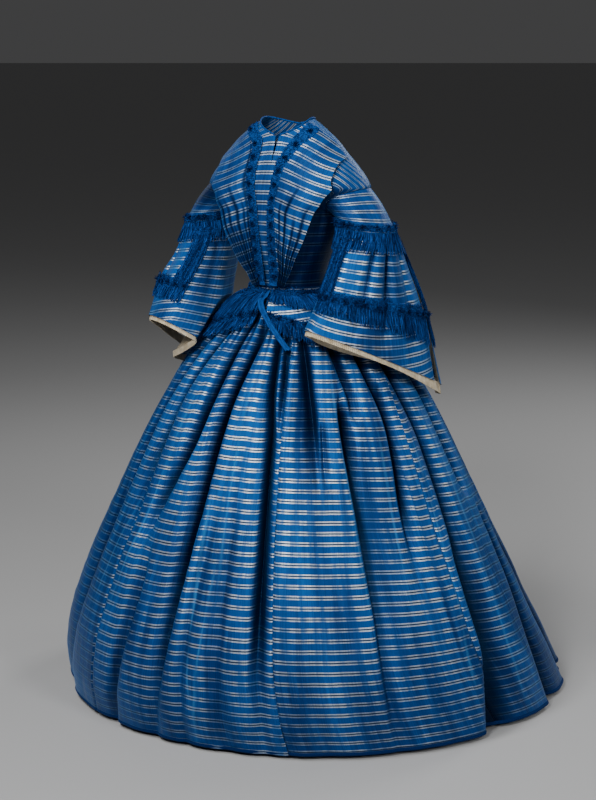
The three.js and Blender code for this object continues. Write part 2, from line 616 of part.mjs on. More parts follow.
// The frill hangs in small waves just under the hem of the two bell panels, as one closed ring.
function frillGrid(front, back) {
  const along = (grid, count) => steps(count - 1, 0.01, 0.99).map((u) => onGrid(grid, u, 1).point);
  const hem = [...along(front, FRILL.front), ...along(back, FRILL.back)];
  const normals = hem.map((point, k) => {
    const before = hem[(k + hem.length - 1) % hem.length];
    const after = hem[(k + 1) % hem.length];
    return new THREE.Vector3(after.y - before.y, before.x - after.x, 0).normalize();
  });
  const row = (down) => hem.map((point, k) => {
    const inward = FRILL.inside + (k % 2 ? FRILL.depth : -FRILL.depth);
    return point.clone().addScaledVector(normals[k], -inward).add(new THREE.Vector3(0, 0, -down));
  });
  return {
    us: steps(hem.length),
    vs: [0, 1],
    points: [row(FRILL.top), row(FRILL.drop)],
    normals: [normals, normals],
    close: true,
    columns: hem.length,
  };
}
for (const [name, arm] of Object.entries(SLEEVES)) {
  const flip = (list) => (arm.side > 0 ? list : list.map((c) => 1 - c).reverse());
  const span = (list, i0, i1) => (arm.side > 0 ? [i0, i1] : [list.length - 1 - i1, list.length - 1 - i0]);
  const ring = makeGrid(upperSleeve(arm), SLEEVE_RING, UPPER_ROWS, { close: true });
  addWall(`upper_sleeve_${name}`, ring, -CLOTH, 0, SILK);
  const band = cut(ring, [0, 16], [2, 3]);
  addWall(`sleeve_band_${name}`, band, LAYER_GAP, LAYER_GAP + TRIM, TRIMMING, (i) => (i % 2 ? TUFT : 0));
  const bandTip = (u, share) => ringTip(arm, arm.side * u, 0.2 * share);
  add(`band_fringe_${name}`, fringe(ring, [0, 16], [3, 4], 0, 1, bandTip), TRIMMING);

  const panels = {
    front: [makeGrid(bellSurface(arm, BELL_FRONT), flip(BELL_FRONT_COLUMNS), BELL_ROWS), BELL_FRONT_COLUMNS, 3, 5],
    back: [makeGrid(bellSurface(arm, BELL_BACK), flip(BELL_BACK_COLUMNS), BELL_ROWS), BELL_BACK_COLUMNS, 0, 1],
  };
  for (const [where, [grid, list, trimFrom, trimTo]] of Object.entries(panels)) {
    const last = list.length - 1;
    addWall(`bell_${where}_${name}`, grid, -CLOTH, 0, SILK);
    const sideTrim = cut(grid, span(list, trimFrom, trimTo), BELL_SIDE_TRIM);
    addWall(`bell_${where}_side_trim_${name}`, sideTrim, LAYER_GAP, LAYER_GAP + TRIM, TRIMMING);
    const [from, to] = where === 'front' ? [trimFrom, last] : [0, 3];
    const hemTrim = cut(grid, span(list, from, to), BELL_HEM_TRIM);
    const tuft = (i) => (i % 2 ? TUFT : 0);
    addWall(`bell_${where}_hem_trim_${name}`, hemTrim, LAYER_GAP, LAYER_GAP + TRIM, TRIMMING, tuft);
    const tip = (u, share) => onGrid(grid, u, 0.69 + 0.15 * share);
    const hung = where === 'front' ? [trimFrom, last] : [0, 1];
    const strip = fringe(grid, span(list, ...hung), BELL_STRIP, 1, 5, tip);
    add(`bell_${where}_fringe_${name}`, strip, TRIMMING);
    const lined = where === 'front'
      ? cut(grid, [0, last], BELL_LAST)
      : cut(grid, span(list, 0, 2), [0, BELL_ROWS.length - 1]);
    addWall(`lining_${where}_${name}`, lined, -CLOTH - LAYER_GAP - LINING, -CLOTH - LAYER_GAP, CREAM);
  }
  const frill = frillGrid(panels.front[0], panels.back[0]);
  addWall(`sleeve_frill_${name}`, frill, -LINING, 0, CREAM);
}

// ---- basque ----------------------------------------------------------------------------------
['L', 'back', 'R'].forEach((name, k) => {
  const columns = steps(10, BASQUE_SEAMS[k], BASQUE_SEAMS[k + 1]);
  const grid = makeGrid(basqueSurface, columns, BASQUE_ROWS);
  addWall(`basque_${name}`, grid, -CLOTH, 0, SILK);
  const trim = cut(grid, [0, 10], BASQUE_TRIM);
  addWall(`basque_trim_${name}`, trim, LAYER_GAP, LAYER_GAP + TRIM, TRIMMING, (i) => (i % 2 ? TUFT : 0));
  const edgeTip = (u, share) => onGrid(grid, u, 0.97 + 0.33 * share);
  add(`basque_fringe_${name}`, fringe(grid, [0, 10], BASQUE_EDGE, 1, 1, edgeTip), TRIMMING);
  const waistTip = (u, share) => onGrid(grid, u, 0.26 + 0.38 * share);
  add(`waist_fringe_${name}`, fringe(grid, [0, 10], BASQUE_STRIP, 0, 6, waistTip), TRIMMING);
});

// ---- ribbon tail at the waist ----------------------------------------------------------------
const tail = (across, drop) => {
  const azimuth = table(TAIL.drop, TAIL.azimuth, drop) + across / table(SKIRT.drop, SKIRT.width, drop);
  const point = skirtEnvelope(azimuth, drop);
  const off = table(TAIL.drop, TAIL.off, drop);
  return point.add(new THREE.Vector3(Math.sin(radians(azimuth)), -Math.cos(radians(azimuth)), 0).multiplyScalar(off));
};
const tailWidth = THREE.MathUtils.radToDeg(TAIL.width);
const tailGrid = makeGrid(tail, steps(2, -tailWidth / 2, tailWidth / 2), TAIL.drop, { seams: [false, false] });
addWall('waist_ribbon_tail', tailGrid, 0, CLOTH, TRIMMING);

// ---- neckline binding ------------------------------------------------------------------------
const binding = (azimuth, v) => {
  const point = bodySurface(azimuth, neckline(azimuth));
  point.z += lerp(4.5, SEAM_GAP, v);
  return point;
};
addWall('neck_binding', makeGrid(binding, steps(28, 4, 356), [0, 1]), -CLOTH, 0, TRIMMING);

export default dress;
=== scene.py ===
# Day dress of about 1855 in striped silk: the looks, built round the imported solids.
import math
import bpy
import numpy as np
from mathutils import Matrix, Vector


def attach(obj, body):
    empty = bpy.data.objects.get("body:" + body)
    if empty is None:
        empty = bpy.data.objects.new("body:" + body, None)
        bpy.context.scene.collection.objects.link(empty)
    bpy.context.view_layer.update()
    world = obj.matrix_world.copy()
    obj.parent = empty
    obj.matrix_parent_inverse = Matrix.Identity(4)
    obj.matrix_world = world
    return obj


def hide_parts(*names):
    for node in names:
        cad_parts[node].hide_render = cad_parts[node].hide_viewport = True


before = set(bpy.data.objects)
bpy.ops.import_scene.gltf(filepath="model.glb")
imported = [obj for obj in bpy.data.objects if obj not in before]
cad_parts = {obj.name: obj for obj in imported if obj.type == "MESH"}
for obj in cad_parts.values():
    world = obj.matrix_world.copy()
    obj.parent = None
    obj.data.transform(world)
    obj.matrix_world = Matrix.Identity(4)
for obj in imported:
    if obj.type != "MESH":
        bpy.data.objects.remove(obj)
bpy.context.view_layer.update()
MM = 0.001
UP = np.array([0.0, 0.0, 1.0])


# ---- tables (millimetres and degrees, the same as the solids) ----
SKIRT_LENGTH, SKIRT_TOP = 1010.0, 12.0
SEAMS = [25, 76, 128, 179, 231, 282, 334, 385]
SKIRT = {
    "drop": [12, 20, 32, 50, 80, 120, 270, 520, 770, 920, 1010],
    "width": [95, 124, 145, 166, 198, 242, 337, 458, 570, 622, 640],
    "depth": [84, 104, 120, 140, 172, 216, 333, 458, 570, 622, 640],
    "back": [0, 5, 11, 20, 32, 42, 42, 38, 52, 94, 138],
}
# Valleys of the skirt on the front and left side. Rows: share of the way down, azimuth, depth (mm),
# and reach to the left and to the right (mm).
VALLEYS = [
    [(0, 6, 6, 6, 6), (0.1, 4, 26, 10, 6), (0.25, 0.5, 40, 15, 6), (0.5, -0.5, 38, 20, 6),
     (0.75, -2, 28, 34, 6), (0.9, -4, 14, 26, 9), (1, -6, 12, 20, 16)],
    [(0, -4, 6, 6, 6), (0.1, -9, 24, 9, 7), (0.2, -10, 34, 13, 8), (0.32, -11.5, 36, 22, 9),
     (0.42, -15.5, 30, 26, 12), (0.52, -18.5, 20, 26, 14), (0.6, -19.5, 0, 22, 16)],
    [(0.55, -14.5, 0, 14, 8), (0.65, -14.3, 13, 18, 8), (0.8, -15.8, 18, 20, 9), (1, -19, 15, 20, 12)],
    [(0, -16, 7, 6, 6), (0.12, -26, 26, 9, 7), (0.24, -30, 38, 12, 8), (0.33, -29, 34, 15, 8),
     (0.44, -28.5, 14, 20, 10), (0.58, -27, 0, 18, 10)],
    [(0, -28, 7, 6, 6), (0.14, -40, 24, 10, 8), (0.28, -43, 30, 14, 9), (0.42, -41, 18, 20, 10),
     (0.55, -40, 0, 20, 10)],
    [(0.42, -47, 0, 30, 20), (0.58, -42, 18, 40, 20), (0.8, -43, 22, 48, 22), (1, -46, 18, 44, 30)],
    [(0, -44, 7, 6, 6), (0.2, -58, 24, 12, 10), (0.45, -62, 26, 18, 14), (0.75, -64, 22, 24, 20),
     (1, -66, 26, 28, 24)],
    [(0.4, 4.5, 0, 10, 14), (0.55, 4.5, 10, 10, 16), (0.75, 3, 11, 12, 16), (1, 2, 9, 12, 16)],
    [(0.42, 12, 0, 18, 12), (0.6, 12, 8, 26, 12), (0.8, 12, 9, 30, 14), (1, 12, 6, 24, 20)],
    [(0, 13, 8, 6, 6), (0.08, 16, 26, 8, 7), (0.2, 18, 36, 8, 9), (0.32, 20.5, 42, 7, 11),
     (0.6, 21.2, 40, 8, 15), (0.75, 21.2, 28, 12, 20), (0.87, 21.2, 12, 16, 20), (1, 20, 6, 16, 16)],
    [(0.03, 19, 6, 6, 6), (0.1, 21.5, 20, 7, 7), (0.2, 23.5, 27, 7, 7), (0.27, 23.8, 18, 7, 7),
     (0.31, 24, 0, 7, 7)],
    [(0, 27, 8, 6, 6), (0.1, 32, 24, 10, 8), (0.18, 35.5, 30, 22, 8), (0.26, 37.5, 28, 36, 8),
     (0.34, 38, 18, 18, 8), (0.43, 38.5, 0, 10, 8)],
    [(0.25, 41, 0, 6, 6), (0.3, 41, 15, 6, 6), (0.36, 40.8, 15, 6, 8), (0.41, 40.5, 0, 6, 8)],
    [(0.02, 38, 8, 6, 6), (0.1, 47, 20, 7, 9), (0.17, 52, 30, 7, 10), (0.23, 55, 30, 7, 10),
     (0.28, 55.5, 0, 9, 8)],
    [(0.21, 49, 0, 5, 10), (0.27, 48.8, 30, 5, 20), (0.4, 49.8, 34, 5, 45), (0.5, 50.6, 28, 5, 70),
     (0.65, 50.8, 24, 5, 76), (0.8, 50.2, 15, 6, 60), (1, 48, 5, 10, 40)],
    [(0, 50, 8, 6, 6), (0.08, 60, 22, 8, 8), (0.15, 64.5, 32, 7, 11), (0.28, 69.5, 42, 7, 15),
     (0.36, 68.5, 40, 7, 16), (0.46, 67, 28, 8, 14), (0.56, 66, 11, 10, 12), (0.66, 65, 0, 10, 12)],
    [(0, 61, 8, 6, 6), (0.1, 76, 24, 8, 9), (0.2, 81.5, 38, 7, 12), (0.33, 84, 44, 6, 16),
     (0.5, 83.3, 50, 6, 26), (0.65, 80.5, 54, 6, 40), (0.78, 79.6, 54, 6, 52), (0.9, 75, 50, 7, 66),
     (1, 71.3, 46, 8, 74)],
    [(0, 73, 8, 6, 6), (0.14, 95, 24, 8, 9), (0.22, 100, 32, 9, 13), (0.32, 101, 40, 12, 20),
     (0.42, 100.5, 22, 12, 16), (0.5, 100, 0, 14, 12)],
    [(0.48, 107, 0, 8, 8), (0.62, 105, 18, 7, 12), (0.75, 102.3, 32, 6, 24), (0.9, 98, 46, 7, 32),
     (1, 96.5, 50, 9, 36)],
    [(0, 88, 8, 6, 6), (0.2, 112, 24, 9, 12), (0.45, 116, 28, 11, 18), (0.75, 115, 32, 12, 24),
     (1, 114, 36, 14, 28)],
]
# All valleys are deeper than their rows by this factor.
DEEPEN = {"down": [0, 0.08, 0.2, 0.5, 0.7, 1], "factor": [1.0, 1.2, 1.4, 1.3, 1.1, 1.0]}
# Valleys of the left side whose crisp edge lies over them, so their far side gets a wider painted shadow.
OVERHUNG = (16, 18)
# Painted highlights on ridges of the front that catch the light: share down, azimuth.
GLINTS = [
    [(0.5, -29), (0.64, -31), (0.78, -33)], [(0.6, 8.5), (0.8, 7), (1, 5)],
    [(0.3, 92), (0.5, 93), (0.7, 91), (0.95, 86)], [(0.6, -13), (0.8, -15), (1, -18)],
    [(0.45, 3), (0.7, 4), (0.9, 5)], [(0.2, 46), (0.45, 48.6), (0.7, 49.2)],
    [(0.3, 63), (0.5, 62), (0.7, 61)], [(0.35, 78.5), (0.6, 76.5), (0.9, 71)],
    [(0.25, -20), (0.5, -22), (0.75, -24)], [(0.3, -51), (0.6, -54), (0.9, -56)],
    [(0.25, 9), (0.45, 9.5), (0.6, 10)],
]
# Folds of the far sides: waist azimuth, hem azimuth, depth at the hem, reach (mm).
FOLDS = [
    (119, 121, 26, 16), (130, 135, 38, 20), (143, 149, 28, 16), (157, 164, 42, 20), (172, 180, 30, 18),
    (188, 195, 38, 20), (203, 211, 26, 16), (218, 226, 40, 20), (233, 241, 24, 16), (247, 256, 36, 18),
    (262, 270, 26, 18), (274, 283, 32, 18),
]
BODICE = {
    "z": [8, 40, 80, 120, 160, 190, 210, 230, 250, 266, 295, 330, 356, 383, 410],
    "width": [92, 98, 112, 127, 138, 146, 168, 195, 221, 214, 192, 160, 137, 104, 64],
    "front": [82, 90, 103, 111, 115, 113, 110, 106, 100, 96, 84, 69, 57, 49, 40],
    "back": [80, 84, 90, 97, 103, 106, 107, 106, 103, 98, 86, 68, 57, 49, 44],
}
NECK_START, NECK_TOP, NECK_FRONT, NECK_RISE, NECK_BACK = 352, 400, 366, 42, 392
ARMHOLE_Z, ARMHOLE_HEIGHT, ARMHOLE_ANGLE = 219.5, 29.5, 36
SIDE_SEAM = 48
FAN = {
    "z": [12, 20, 40, 57, 80, 120, 152, 200, 230, 260, 290, 310, 325, 360, 385, 405],
    "edge": [24, 25, 29.6, 32.7, 35.6, 40.5, 43.2, 46, 45, 45, 51, 62, 80, 81, 82, 82],
    "off": [13, 14, 16, 23, 29, 34, 38, 37, 25, 16, 14, 10, 6, 6, 8, 10],
    "left": [2, 2, 3, 4, 4.3, 4.4, 4.4, 3.5, 3, 3, 4, 5, 8, 18, 36, 64],
    "right": [5, 5, 4.5, 4.3, 4.3, 5, 5.6, 7, 8, 9, 11, 12, 12.5, 17, 36, 64],
}
FAN_TOP_INNER, FAN_TOP_OUTER, FAN_BOTTOM, FAN_LIFT = 400, 325, 12, 3.4
# The ribbon's share of a fan's width, and its own width.
FAN_RIBBON, RIBBON_WIDTH = 0.2, 22
ARMS = {
    "L": {
        "side": 1,
        "at": [0, 0.07, 0.3, 0.6, 1],
        "front": [(205, -70, 172), (207, -74, 150), (198, -105, 85), (185, -150, 10), (170, -200, -70)],
        "back": [(222, 64, 168), (230, 68, 146), (262, 88, 68), (300, 118, -45), (340, 150, -235)],
        "breadth": [66, 69, 76, 80, 72],
        "lift": [-8, -8, -4, 0, 0],
    },
    "R": {
        "side": -1,
        "at": [0, 0.07, 0.3, 0.6, 1],
        "front": [(-205, -70, 172), (-207, -74, 150), (-203, -105, 85), (-205, -150, 10), (-205, -200, -85)],
        "back": [(-222, 64, 168), (-232, 68, 146), (-264, 88, 68), (-318, 118, -30), (-340, 140, -205)],
        "breadth": [66, 69, 77, 88, 98],
        "lift": [-8, -8, 0, 20, 46],
    },
}
BELL_FRONT = {"share": [0, 0.28, 0.4, 1], "top": [-90, -28, 4, 138], "hem": [-90, 8, 30, 138]}
BELL_BACK = {"share": [0, 1], "top": [142, 270], "hem": [148, 270]}
# Pleats of the bells: angle at the top, at the hem, depth, spread.
BELL_PLEATS = [(58, 56, 17, 3.6), (90, 82, 24, 4.2), (200, 205, 9, 11), (-42, -30, 7, 10), (118, 112, 7, 4)]
SLEEVE_CLEAR = 32
BASQUE = {"azimuth": [0, 25, 60, 100, 140, 180], "length": [62, 84, 112, 118, 112, 106]}
BASQUE_SEAMS = [4, 115, 245, 356]
TAIL_WIDTH = 15
TAIL = {
    "drop": [0, 8, 16, 30, 60, 95, 130],
    "azimuth": [-4, -3.5, -3, 0, 8, 17, 25],
    "off": [2.6, 13, 19, 21, 21, 22, 23],
}


# ---- small helpers ----
def table(xs, ys, x):
    """Smooth value from a table: monotone cubic through its rows."""
    xs, ys = np.asarray(xs, float), np.asarray(ys, float)
    x = np.clip(np.asarray(x, float), xs[0], xs[-1])
    h = np.diff(xs)
    s = np.diff(ys) / h
    a, b = s[:-1], s[1:]
    m = np.concatenate([[s[0]], np.where(a * b <= 0, 0, 2 * a * b / np.where(a + b == 0, 1, a + b)), [s[-1]]])
    k = np.clip(np.searchsorted(xs, x, side="right") - 1, 0, len(xs) - 2)
    t = (x - xs[k]) / h[k]
    rise = ys[k] * (2 * t**3 - 3 * t**2 + 1) + ys[k + 1] * (3 * t**2 - 2 * t**3)
    return rise + h[k] * (m[k] * (t**3 - 2 * t**2 + t) + m[k + 1] * (t**3 - t**2))


def column(rows, key, x):
    """One column of a table, read at x. The table's first column says where its rows are."""
    return table(rows[next(iter(rows))], rows[key], x)


def lerp(a, b, t):
    return a + (b - a) * t


def smooth(x, a, b):
    t = np.clip((np.asarray(x, float) - a) / (b - a), 0, 1)
    return t * t * (3 - 2 * t)


def turn(degrees):
    return (degrees + 180) % 360 - 180


def vec(x, y, z):
    x, y, z = np.broadcast_arrays(x, y, z)
    return np.stack([x, y, z], axis=-1).astype(float)


def unit(v):
    return v / np.maximum(np.linalg.norm(v, axis=-1, keepdims=True), 1e-9)


def normals_of(P):
    du = np.gradient(P, axis=1) if P.shape[1] > 1 else np.zeros_like(P)
    dv = np.gradient(P, axis=0)
    return unit(np.cross(dv, du))


def wobble(x, seed, scale):
    """Smooth noise of one variable in -1..1, the same on every run."""
    rng = np.random.default_rng(seed)
    phase = rng.uniform(0, 2 * np.pi, 6)
    rate = rng.uniform(0.55, 1.6, 6) * 2 * np.pi / scale
    return sum(np.sin(rate[k] * x + phase[k]) for k in range(6)) / 3.2


# ---- surfaces ----
def skirt_envelope(azimuth, drop):
    a = np.radians(azimuth)
    width = column(SKIRT, "width", drop)
    depth = column(SKIRT, "depth", drop)
    back = column(SKIRT, "back", drop)
    return vec(width * np.sin(a), back - depth * np.cos(a), -drop)


def inward_of(P):
    back = column(SKIRT, "back", -P[..., 2])
    centre = vec(0, back, P[..., 2])
    return unit(centre - P)


def skirt_radius(v):
    drop = lerp(SKIRT_TOP, SKIRT_LENGTH, v)
    return (column(SKIRT, "width", drop) + column(SKIRT, "depth", drop)) / 2


def valley(azimuth, v, rows, overhung=False):
    """Depth of one valley, and its painted shade: how far its cloth lies in the dark of the fold (0 to 1)."""
    down, middle, deep, left, right = np.array(rows, float).T
    inside = (v >= down[0] - 1e-6) & (v <= down[-1] + 1e-6)
    x = np.radians(turn(azimuth - table(down, middle, v))) * skirt_radius(v)
    reach = np.where(x < 0, table(down, left, v), table(down, right, v))
    deep = np.where(inside, table(down, deep, v), 0) * column(DEEPEN, "factor", v)
    # Painted shade: how far the dark of the fold reaches, wider on the far side of an overhung valley.
    near = np.where(overhung & (x > 0), 1.3 * reach + 4, np.minimum(1.3 * reach, 22))
    core = np.exp(-((np.abs(x) / near) ** 2))
    x = np.abs(x) / reach
    profile = 0.8 * np.exp(-(x**1.7)) + 0.2 * np.exp(-((x / 2.2) ** 2))
    end = 1 if down[-1] > 0.99 else 1 - smooth(v, down[-1] - 0.16, down[-1] - 0.01)
    ends = smooth(v, down[0], down[0] + 0.05) * end
    dark = 0.66 * smooth(core, 0.05, 0.8) + 0.34 * smooth(profile, 0.1, 0.7)
    return deep * profile, ends * smooth(deep, 4, 40) ** 0.8 * dark


def hidden_valley(top, hem, deep, reach):
    """A fold of the far sides, as the rows of a valley."""
    rows = [(0, top, 7, 6, 6), (0.12, lerp(top, hem, 0.5), 0.7 * deep, 9, 9)]
    for down, share in ((0.35, 0.6), (0.65, 1), (1, 1.2)):
        rows.append((down, hem, deep, reach * share, reach * share))
    return rows


def folds(azimuth, v):
    """How far the cloth lies in from the envelope, and how dark its painted shade is there."""
    azimuth, v = np.broadcast_arrays(np.asarray(azimuth, float), np.asarray(v, float))
    depth, light = np.zeros(v.shape), np.ones(v.shape)
    for k, rows in enumerate(VALLEYS + [hidden_valley(*fold) for fold in FOLDS]):
        deep, dark = valley(azimuth, v, rows, k in OVERHUNG)
        depth, light = depth + deep, light * (1 - dark)
    for at, drift, deep, spread, start, end in CREASES:
        x = turn(azimuth - at - drift * v) / spread
        reach = smooth(v, start - 0.03, start + 0.08) * (1 - smooth(v, end - 0.25, end))
        depth = depth + deep * reach * np.exp(-x * x)
    along, across = v * 1100, np.radians(azimuth) * skirt_radius(v)
    for period, slant, size, seed in FACETS:
        phase = (across + slant * along + 26 * wobble(along, seed, 700)) / period
        share = 0.5 + 0.5 * wobble(along + 0.6 * across, seed + 50, 420)
        near = lerp(0.45, 1.0, smooth(np.cos(np.radians(azimuth - 30)), 0.5, 0.85))
        depth = depth + size * share * near * smooth(v, 0.2, 0.55) * (2 * np.abs(phase % 1 * 2 - 1))
    seam = np.min([np.abs(turn(azimuth - at)) for at in SEAMS], axis=0) * np.radians(1) * skirt_radius(v)
    depth = depth + 3.0 * smooth(v, 0.2, 0.45) * np.exp(-((seam / 4.0) ** 2))
    # Painted shade: darker towards the hem and on the far sides.
    aside = smooth(np.abs(turn(azimuth - 40)), 45, 95)
    light = light * (1 - 0.17 * smooth(v, 0.5, 1)) * (1 - 0.17 * aside * smooth(v, 0.15, 0.6))
    # The gathers at the waist: they add depth, and painted shade where they lie deepest.
    gathers = 0.5 + 0.5 * np.sin(np.radians(azimuth) * 70 + 1.6 * wobble(azimuth, 7, 30))
    gathered = smooth(v, 0.0, 0.02) * (1 - smooth(v, 0.04, 0.16))
    return depth + 9.0 * gathers * gathered, 1 - light * (1 - 0.75 * gathered * smooth(gathers, 0.5, 1))


def glints(azimuth, v):
    """Painted highlight: how much of a lit ridge each spot of the skirt is, 0 to 1."""
    azimuth, v = np.broadcast_arrays(np.asarray(azimuth, float), np.asarray(v, float))
    bright = np.zeros(v.shape)
    for k, rows in enumerate(GLINTS):
        down, middle = np.array(rows, float).T
        spread = 2.6 + 1.2 * wobble(v, 400 + k, 0.5)
        x = np.radians(turn(azimuth - table(down, middle, v))) * skirt_radius(v) / spread
        ends = smooth(v, down[0] - 0.06, down[0] + 0.06) * (1 - smooth(v, down[-1] - 0.08, down[-1] + 0.04))
        bright = bright + ends * (0.6 + 0.4 * wobble(v, 420 + k, 0.22)) * np.exp(-x * x)
    return np.clip(bright, 0, 1)


def skirt_surface(azimuth, v):
    drop = lerp(SKIRT_TOP, SKIRT_LENGTH, v)
    P = skirt_envelope(azimuth, drop)
    return P + inward_of(P) * folds(azimuth, v)[0][..., None]


def body_surface(azimuth, z):
    a = np.radians(azimuth)
    width = column(BODICE, "width", z)
    reach = np.where(np.cos(a) > 0, column(BODICE, "front", z), column(BODICE, "back", z))
    return vec(width * np.sin(a), -reach * np.cos(a), z)


def neckline(azimuth):
    a = np.radians(azimuth)
    rise = np.abs(np.sin(a))
    front = NECK_FRONT + NECK_RISE * rise
    back = NECK_BACK + (NECK_FRONT + NECK_RISE - NECK_BACK) * rise
    return np.where(np.cos(a) > 0, front, back)


def bodice_height(azimuth, row):
    top = lerp(NECK_START, neckline(azimuth), (row - NECK_START) / (NECK_TOP - NECK_START))
    return np.where(row <= NECK_START, row, top)


def armhole_reach(z):
    part = np.clip(np.abs(z - ARMHOLE_Z) / ARMHOLE_HEIGHT, 0, 1)
    return ARMHOLE_ANGLE * np.sqrt(1 - part * part)


def front_opening(z):
    return lerp(0, 2.2, smooth(z, 290, 400))


def bodice_panel(start, end):
    def surface(u, v):
        azimuth = lerp(start(-v), end(-v), u)
        return body_surface(azimuth, bodice_height(azimuth, -v))
    return surface


def fan_surface(side, pleats):
    inner = "left" if side > 0 else "right"

    def surface(share, v):
        z_inner = lerp(FAN_TOP_INNER, FAN_BOTTOM, v)
        z_outer = lerp(FAN_TOP_OUTER, FAN_BOTTOM, v)
        across = share if side > 0 else 1 - share
        z = lerp(z_inner, z_outer, across)
        inner_angle = column(FAN, inner, z_inner)
        ribbon_angle = inner_angle + np.degrees(RIBBON_WIDTH / column(BODICE, "width", z_inner))
        edge_angle = np.maximum(column(FAN, "edge", z_outer), ribbon_angle + 1)
        ribbon = np.minimum(ribbon_angle, lerp(inner_angle, edge_angle, 0.5))
        low = lerp(inner_angle, ribbon, across / FAN_RIBBON)
        high = lerp(ribbon, edge_angle, (across - FAN_RIBBON) / (1 - FAN_RIBBON))
        azimuth = np.where(across < FAN_RIBBON, low, high)
        off = lerp(FAN_LIFT, column(FAN, "off", z_outer), smooth(across, 0, 1))
        pleat = np.zeros(np.broadcast(share, v).shape)
        for at, deep, reach, spread in pleats:
            x = np.abs(across - at - 0.012 * wobble(v, int(at * 1000), 1.2)) / spread
            grown = smooth(v, 1 - reach, 1) * lerp(0.25, 1, smooth(v, 0.45, 0.85))
            pleat = pleat + deep * grown * np.exp(-(x**1.5))
        waist = 8 * smooth(v, 0.7, 1)
        a = np.radians(azimuth)
        grow = off + waist - np.minimum(pleat, off + waist - 1)
        base = body_surface(azimuth, z)
        return vec(side * (base[..., 0] + grow * np.sin(a)), base[..., 1] - grow * np.cos(a), base[..., 2])
    return surface


def fan_shade(side, pleats, share, v):
    """Painted shade on a fan front: pleat lines that run up from the waist, and a darkening near the waist, 0
    to 1.
    """
    across = share if side > 0 else 1 - share
    light = np.ones(np.broadcast(share, v).shape)
    for at, deep, reach, spread in pleats:
        x = across - at - spread * 0.7 - 0.012 * wobble(v, int(at * 1000), 1.2)
        x = x / (spread * lerp(0.95, 1.6, v))
        light = light * (1 - smooth(v, 1 - reach, 1.18 - reach) * lerp(0.85, 1.0, v) * np.exp(-x * x))
    return 1 - light * (1 - 0.5 * smooth(v, 0.84, 1.0))


def bell_angle(panel, share, v):
    down = np.clip(v, 0, 1)
    top = np.interp(share, panel["share"], panel["top"])
    hem = np.interp(share, panel["share"], panel["hem"])
    return lerp(top, hem, down)


def arm_point(arm, key, at):
    points = np.array(arm[key], float)
    return np.stack([table(arm["at"], points[:, k], at) for k in range(3)], axis=-1)


def sleeve_ring(arm, angle, at):
    front, back = arm_point(arm, "front", at), arm_point(arm, "back", at)
    centre, long = (front + back) / 2, (front - back) / 2
    flat = unit(np.stack([-long[..., 1], long[..., 0], np.zeros_like(long[..., 0])], axis=-1))
    outward = flat * (arm["side"] * table(arm["at"], arm["breadth"], at))[..., None]
    outward[..., 2] = table(arm["at"], arm["lift"], at)
    a = np.radians(angle)[..., None]
    return centre + long * np.cos(a) + outward * np.sin(a)


def clear_of_skirt(P, margin):
    drop = -P[..., 2]
    width = column(SKIRT, "width", drop) + margin
    depth = column(SKIRT, "depth", drop) + margin
    back = column(SKIRT, "back", drop)
    share = np.hypot(P[..., 0] / width, (P[..., 1] - back) / depth)
    grow = np.maximum(1 / np.maximum(share, 1e-6), 1)
    return vec(P[..., 0] * grow, back + (P[..., 1] - back) * grow, P[..., 2])


def bell_surface(arm, panel):
    def surface(u, v, pleated=1.0):
        u, v = np.broadcast_arrays(np.asarray(u, float), np.asarray(v, float))
        angle = bell_angle(panel, u if arm["side"] > 0 else 1 - u, v)
        P = sleeve_ring(arm, angle, v)
        grown = smooth(v, 0.06, 0.25) * (1 - smooth(v, 0.62, 1.0))
        depth = np.zeros(v.shape)
        for top, hem, deep, spread in BELL_PLEATS:
            x = np.abs(turn(angle - lerp(top, hem, v))) / (spread * (1 + 0.8 * v))
            depth = depth + deep * grown * np.exp(-(x**1.5))
        depth = depth + 1.6 * wobble(angle, 3, 40) * smooth(v, 0.1, 0.5)
        centre = (sleeve_ring(arm, np.zeros(v.shape), v) + sleeve_ring(arm, np.full(v.shape, 180.0), v)) / 2
        return clear_of_skirt(P + unit(centre - P) * (depth * pleated)[..., None], SLEEVE_CLEAR)
    return surface


# Painted shade in the bell's pleats, 0 to 1.
def bell_shade(arm, panel, u, v):
    angle = bell_angle(panel, u if arm["side"] > 0 else 1 - u, v)
    light = np.ones(angle.shape)
    for top, hem, deep, spread in BELL_PLEATS:
        x = turn(angle - lerp(top, hem, v)) / (spread * 0.6)
        dark = 0.92 * smooth(deep, 8, 22) * smooth(v, 0.04, 0.12) * (1 - smooth(v, 0.35, 0.75))
        light = light * (1 - dark * np.exp(-x * x))
    return 1 - light


def armhole_point(side, angle):
    a = np.radians(angle)
    P = body_surface(90 - ARMHOLE_ANGLE * np.cos(a), ARMHOLE_Z + ARMHOLE_HEIGHT * np.sin(a))
    return vec(side * P[..., 0], P[..., 1], P[..., 2])


def upper_sleeve(arm):
    along = np.array([arm["side"] * 0.62, 0, -0.78])

    def surface(u, v):
        u, v = np.broadcast_arrays(np.asarray(u, float), np.asarray(v, float))
        angle = u if arm["side"] > 0 else -u
        start = armhole_point(arm["side"], angle) + along * 0.7
        end = sleeve_ring(arm, angle, np.maximum(v - 1, 0) * 0.07)
        part = np.clip(v, 0, 1)
        bulge = 5 * np.sin(np.pi * part) * np.maximum(0, np.sin(np.radians(angle)))
        return lerp(start, end, part[..., None]) + vec(arm["side"] * bulge, 0, bulge * 0.7)
    return surface


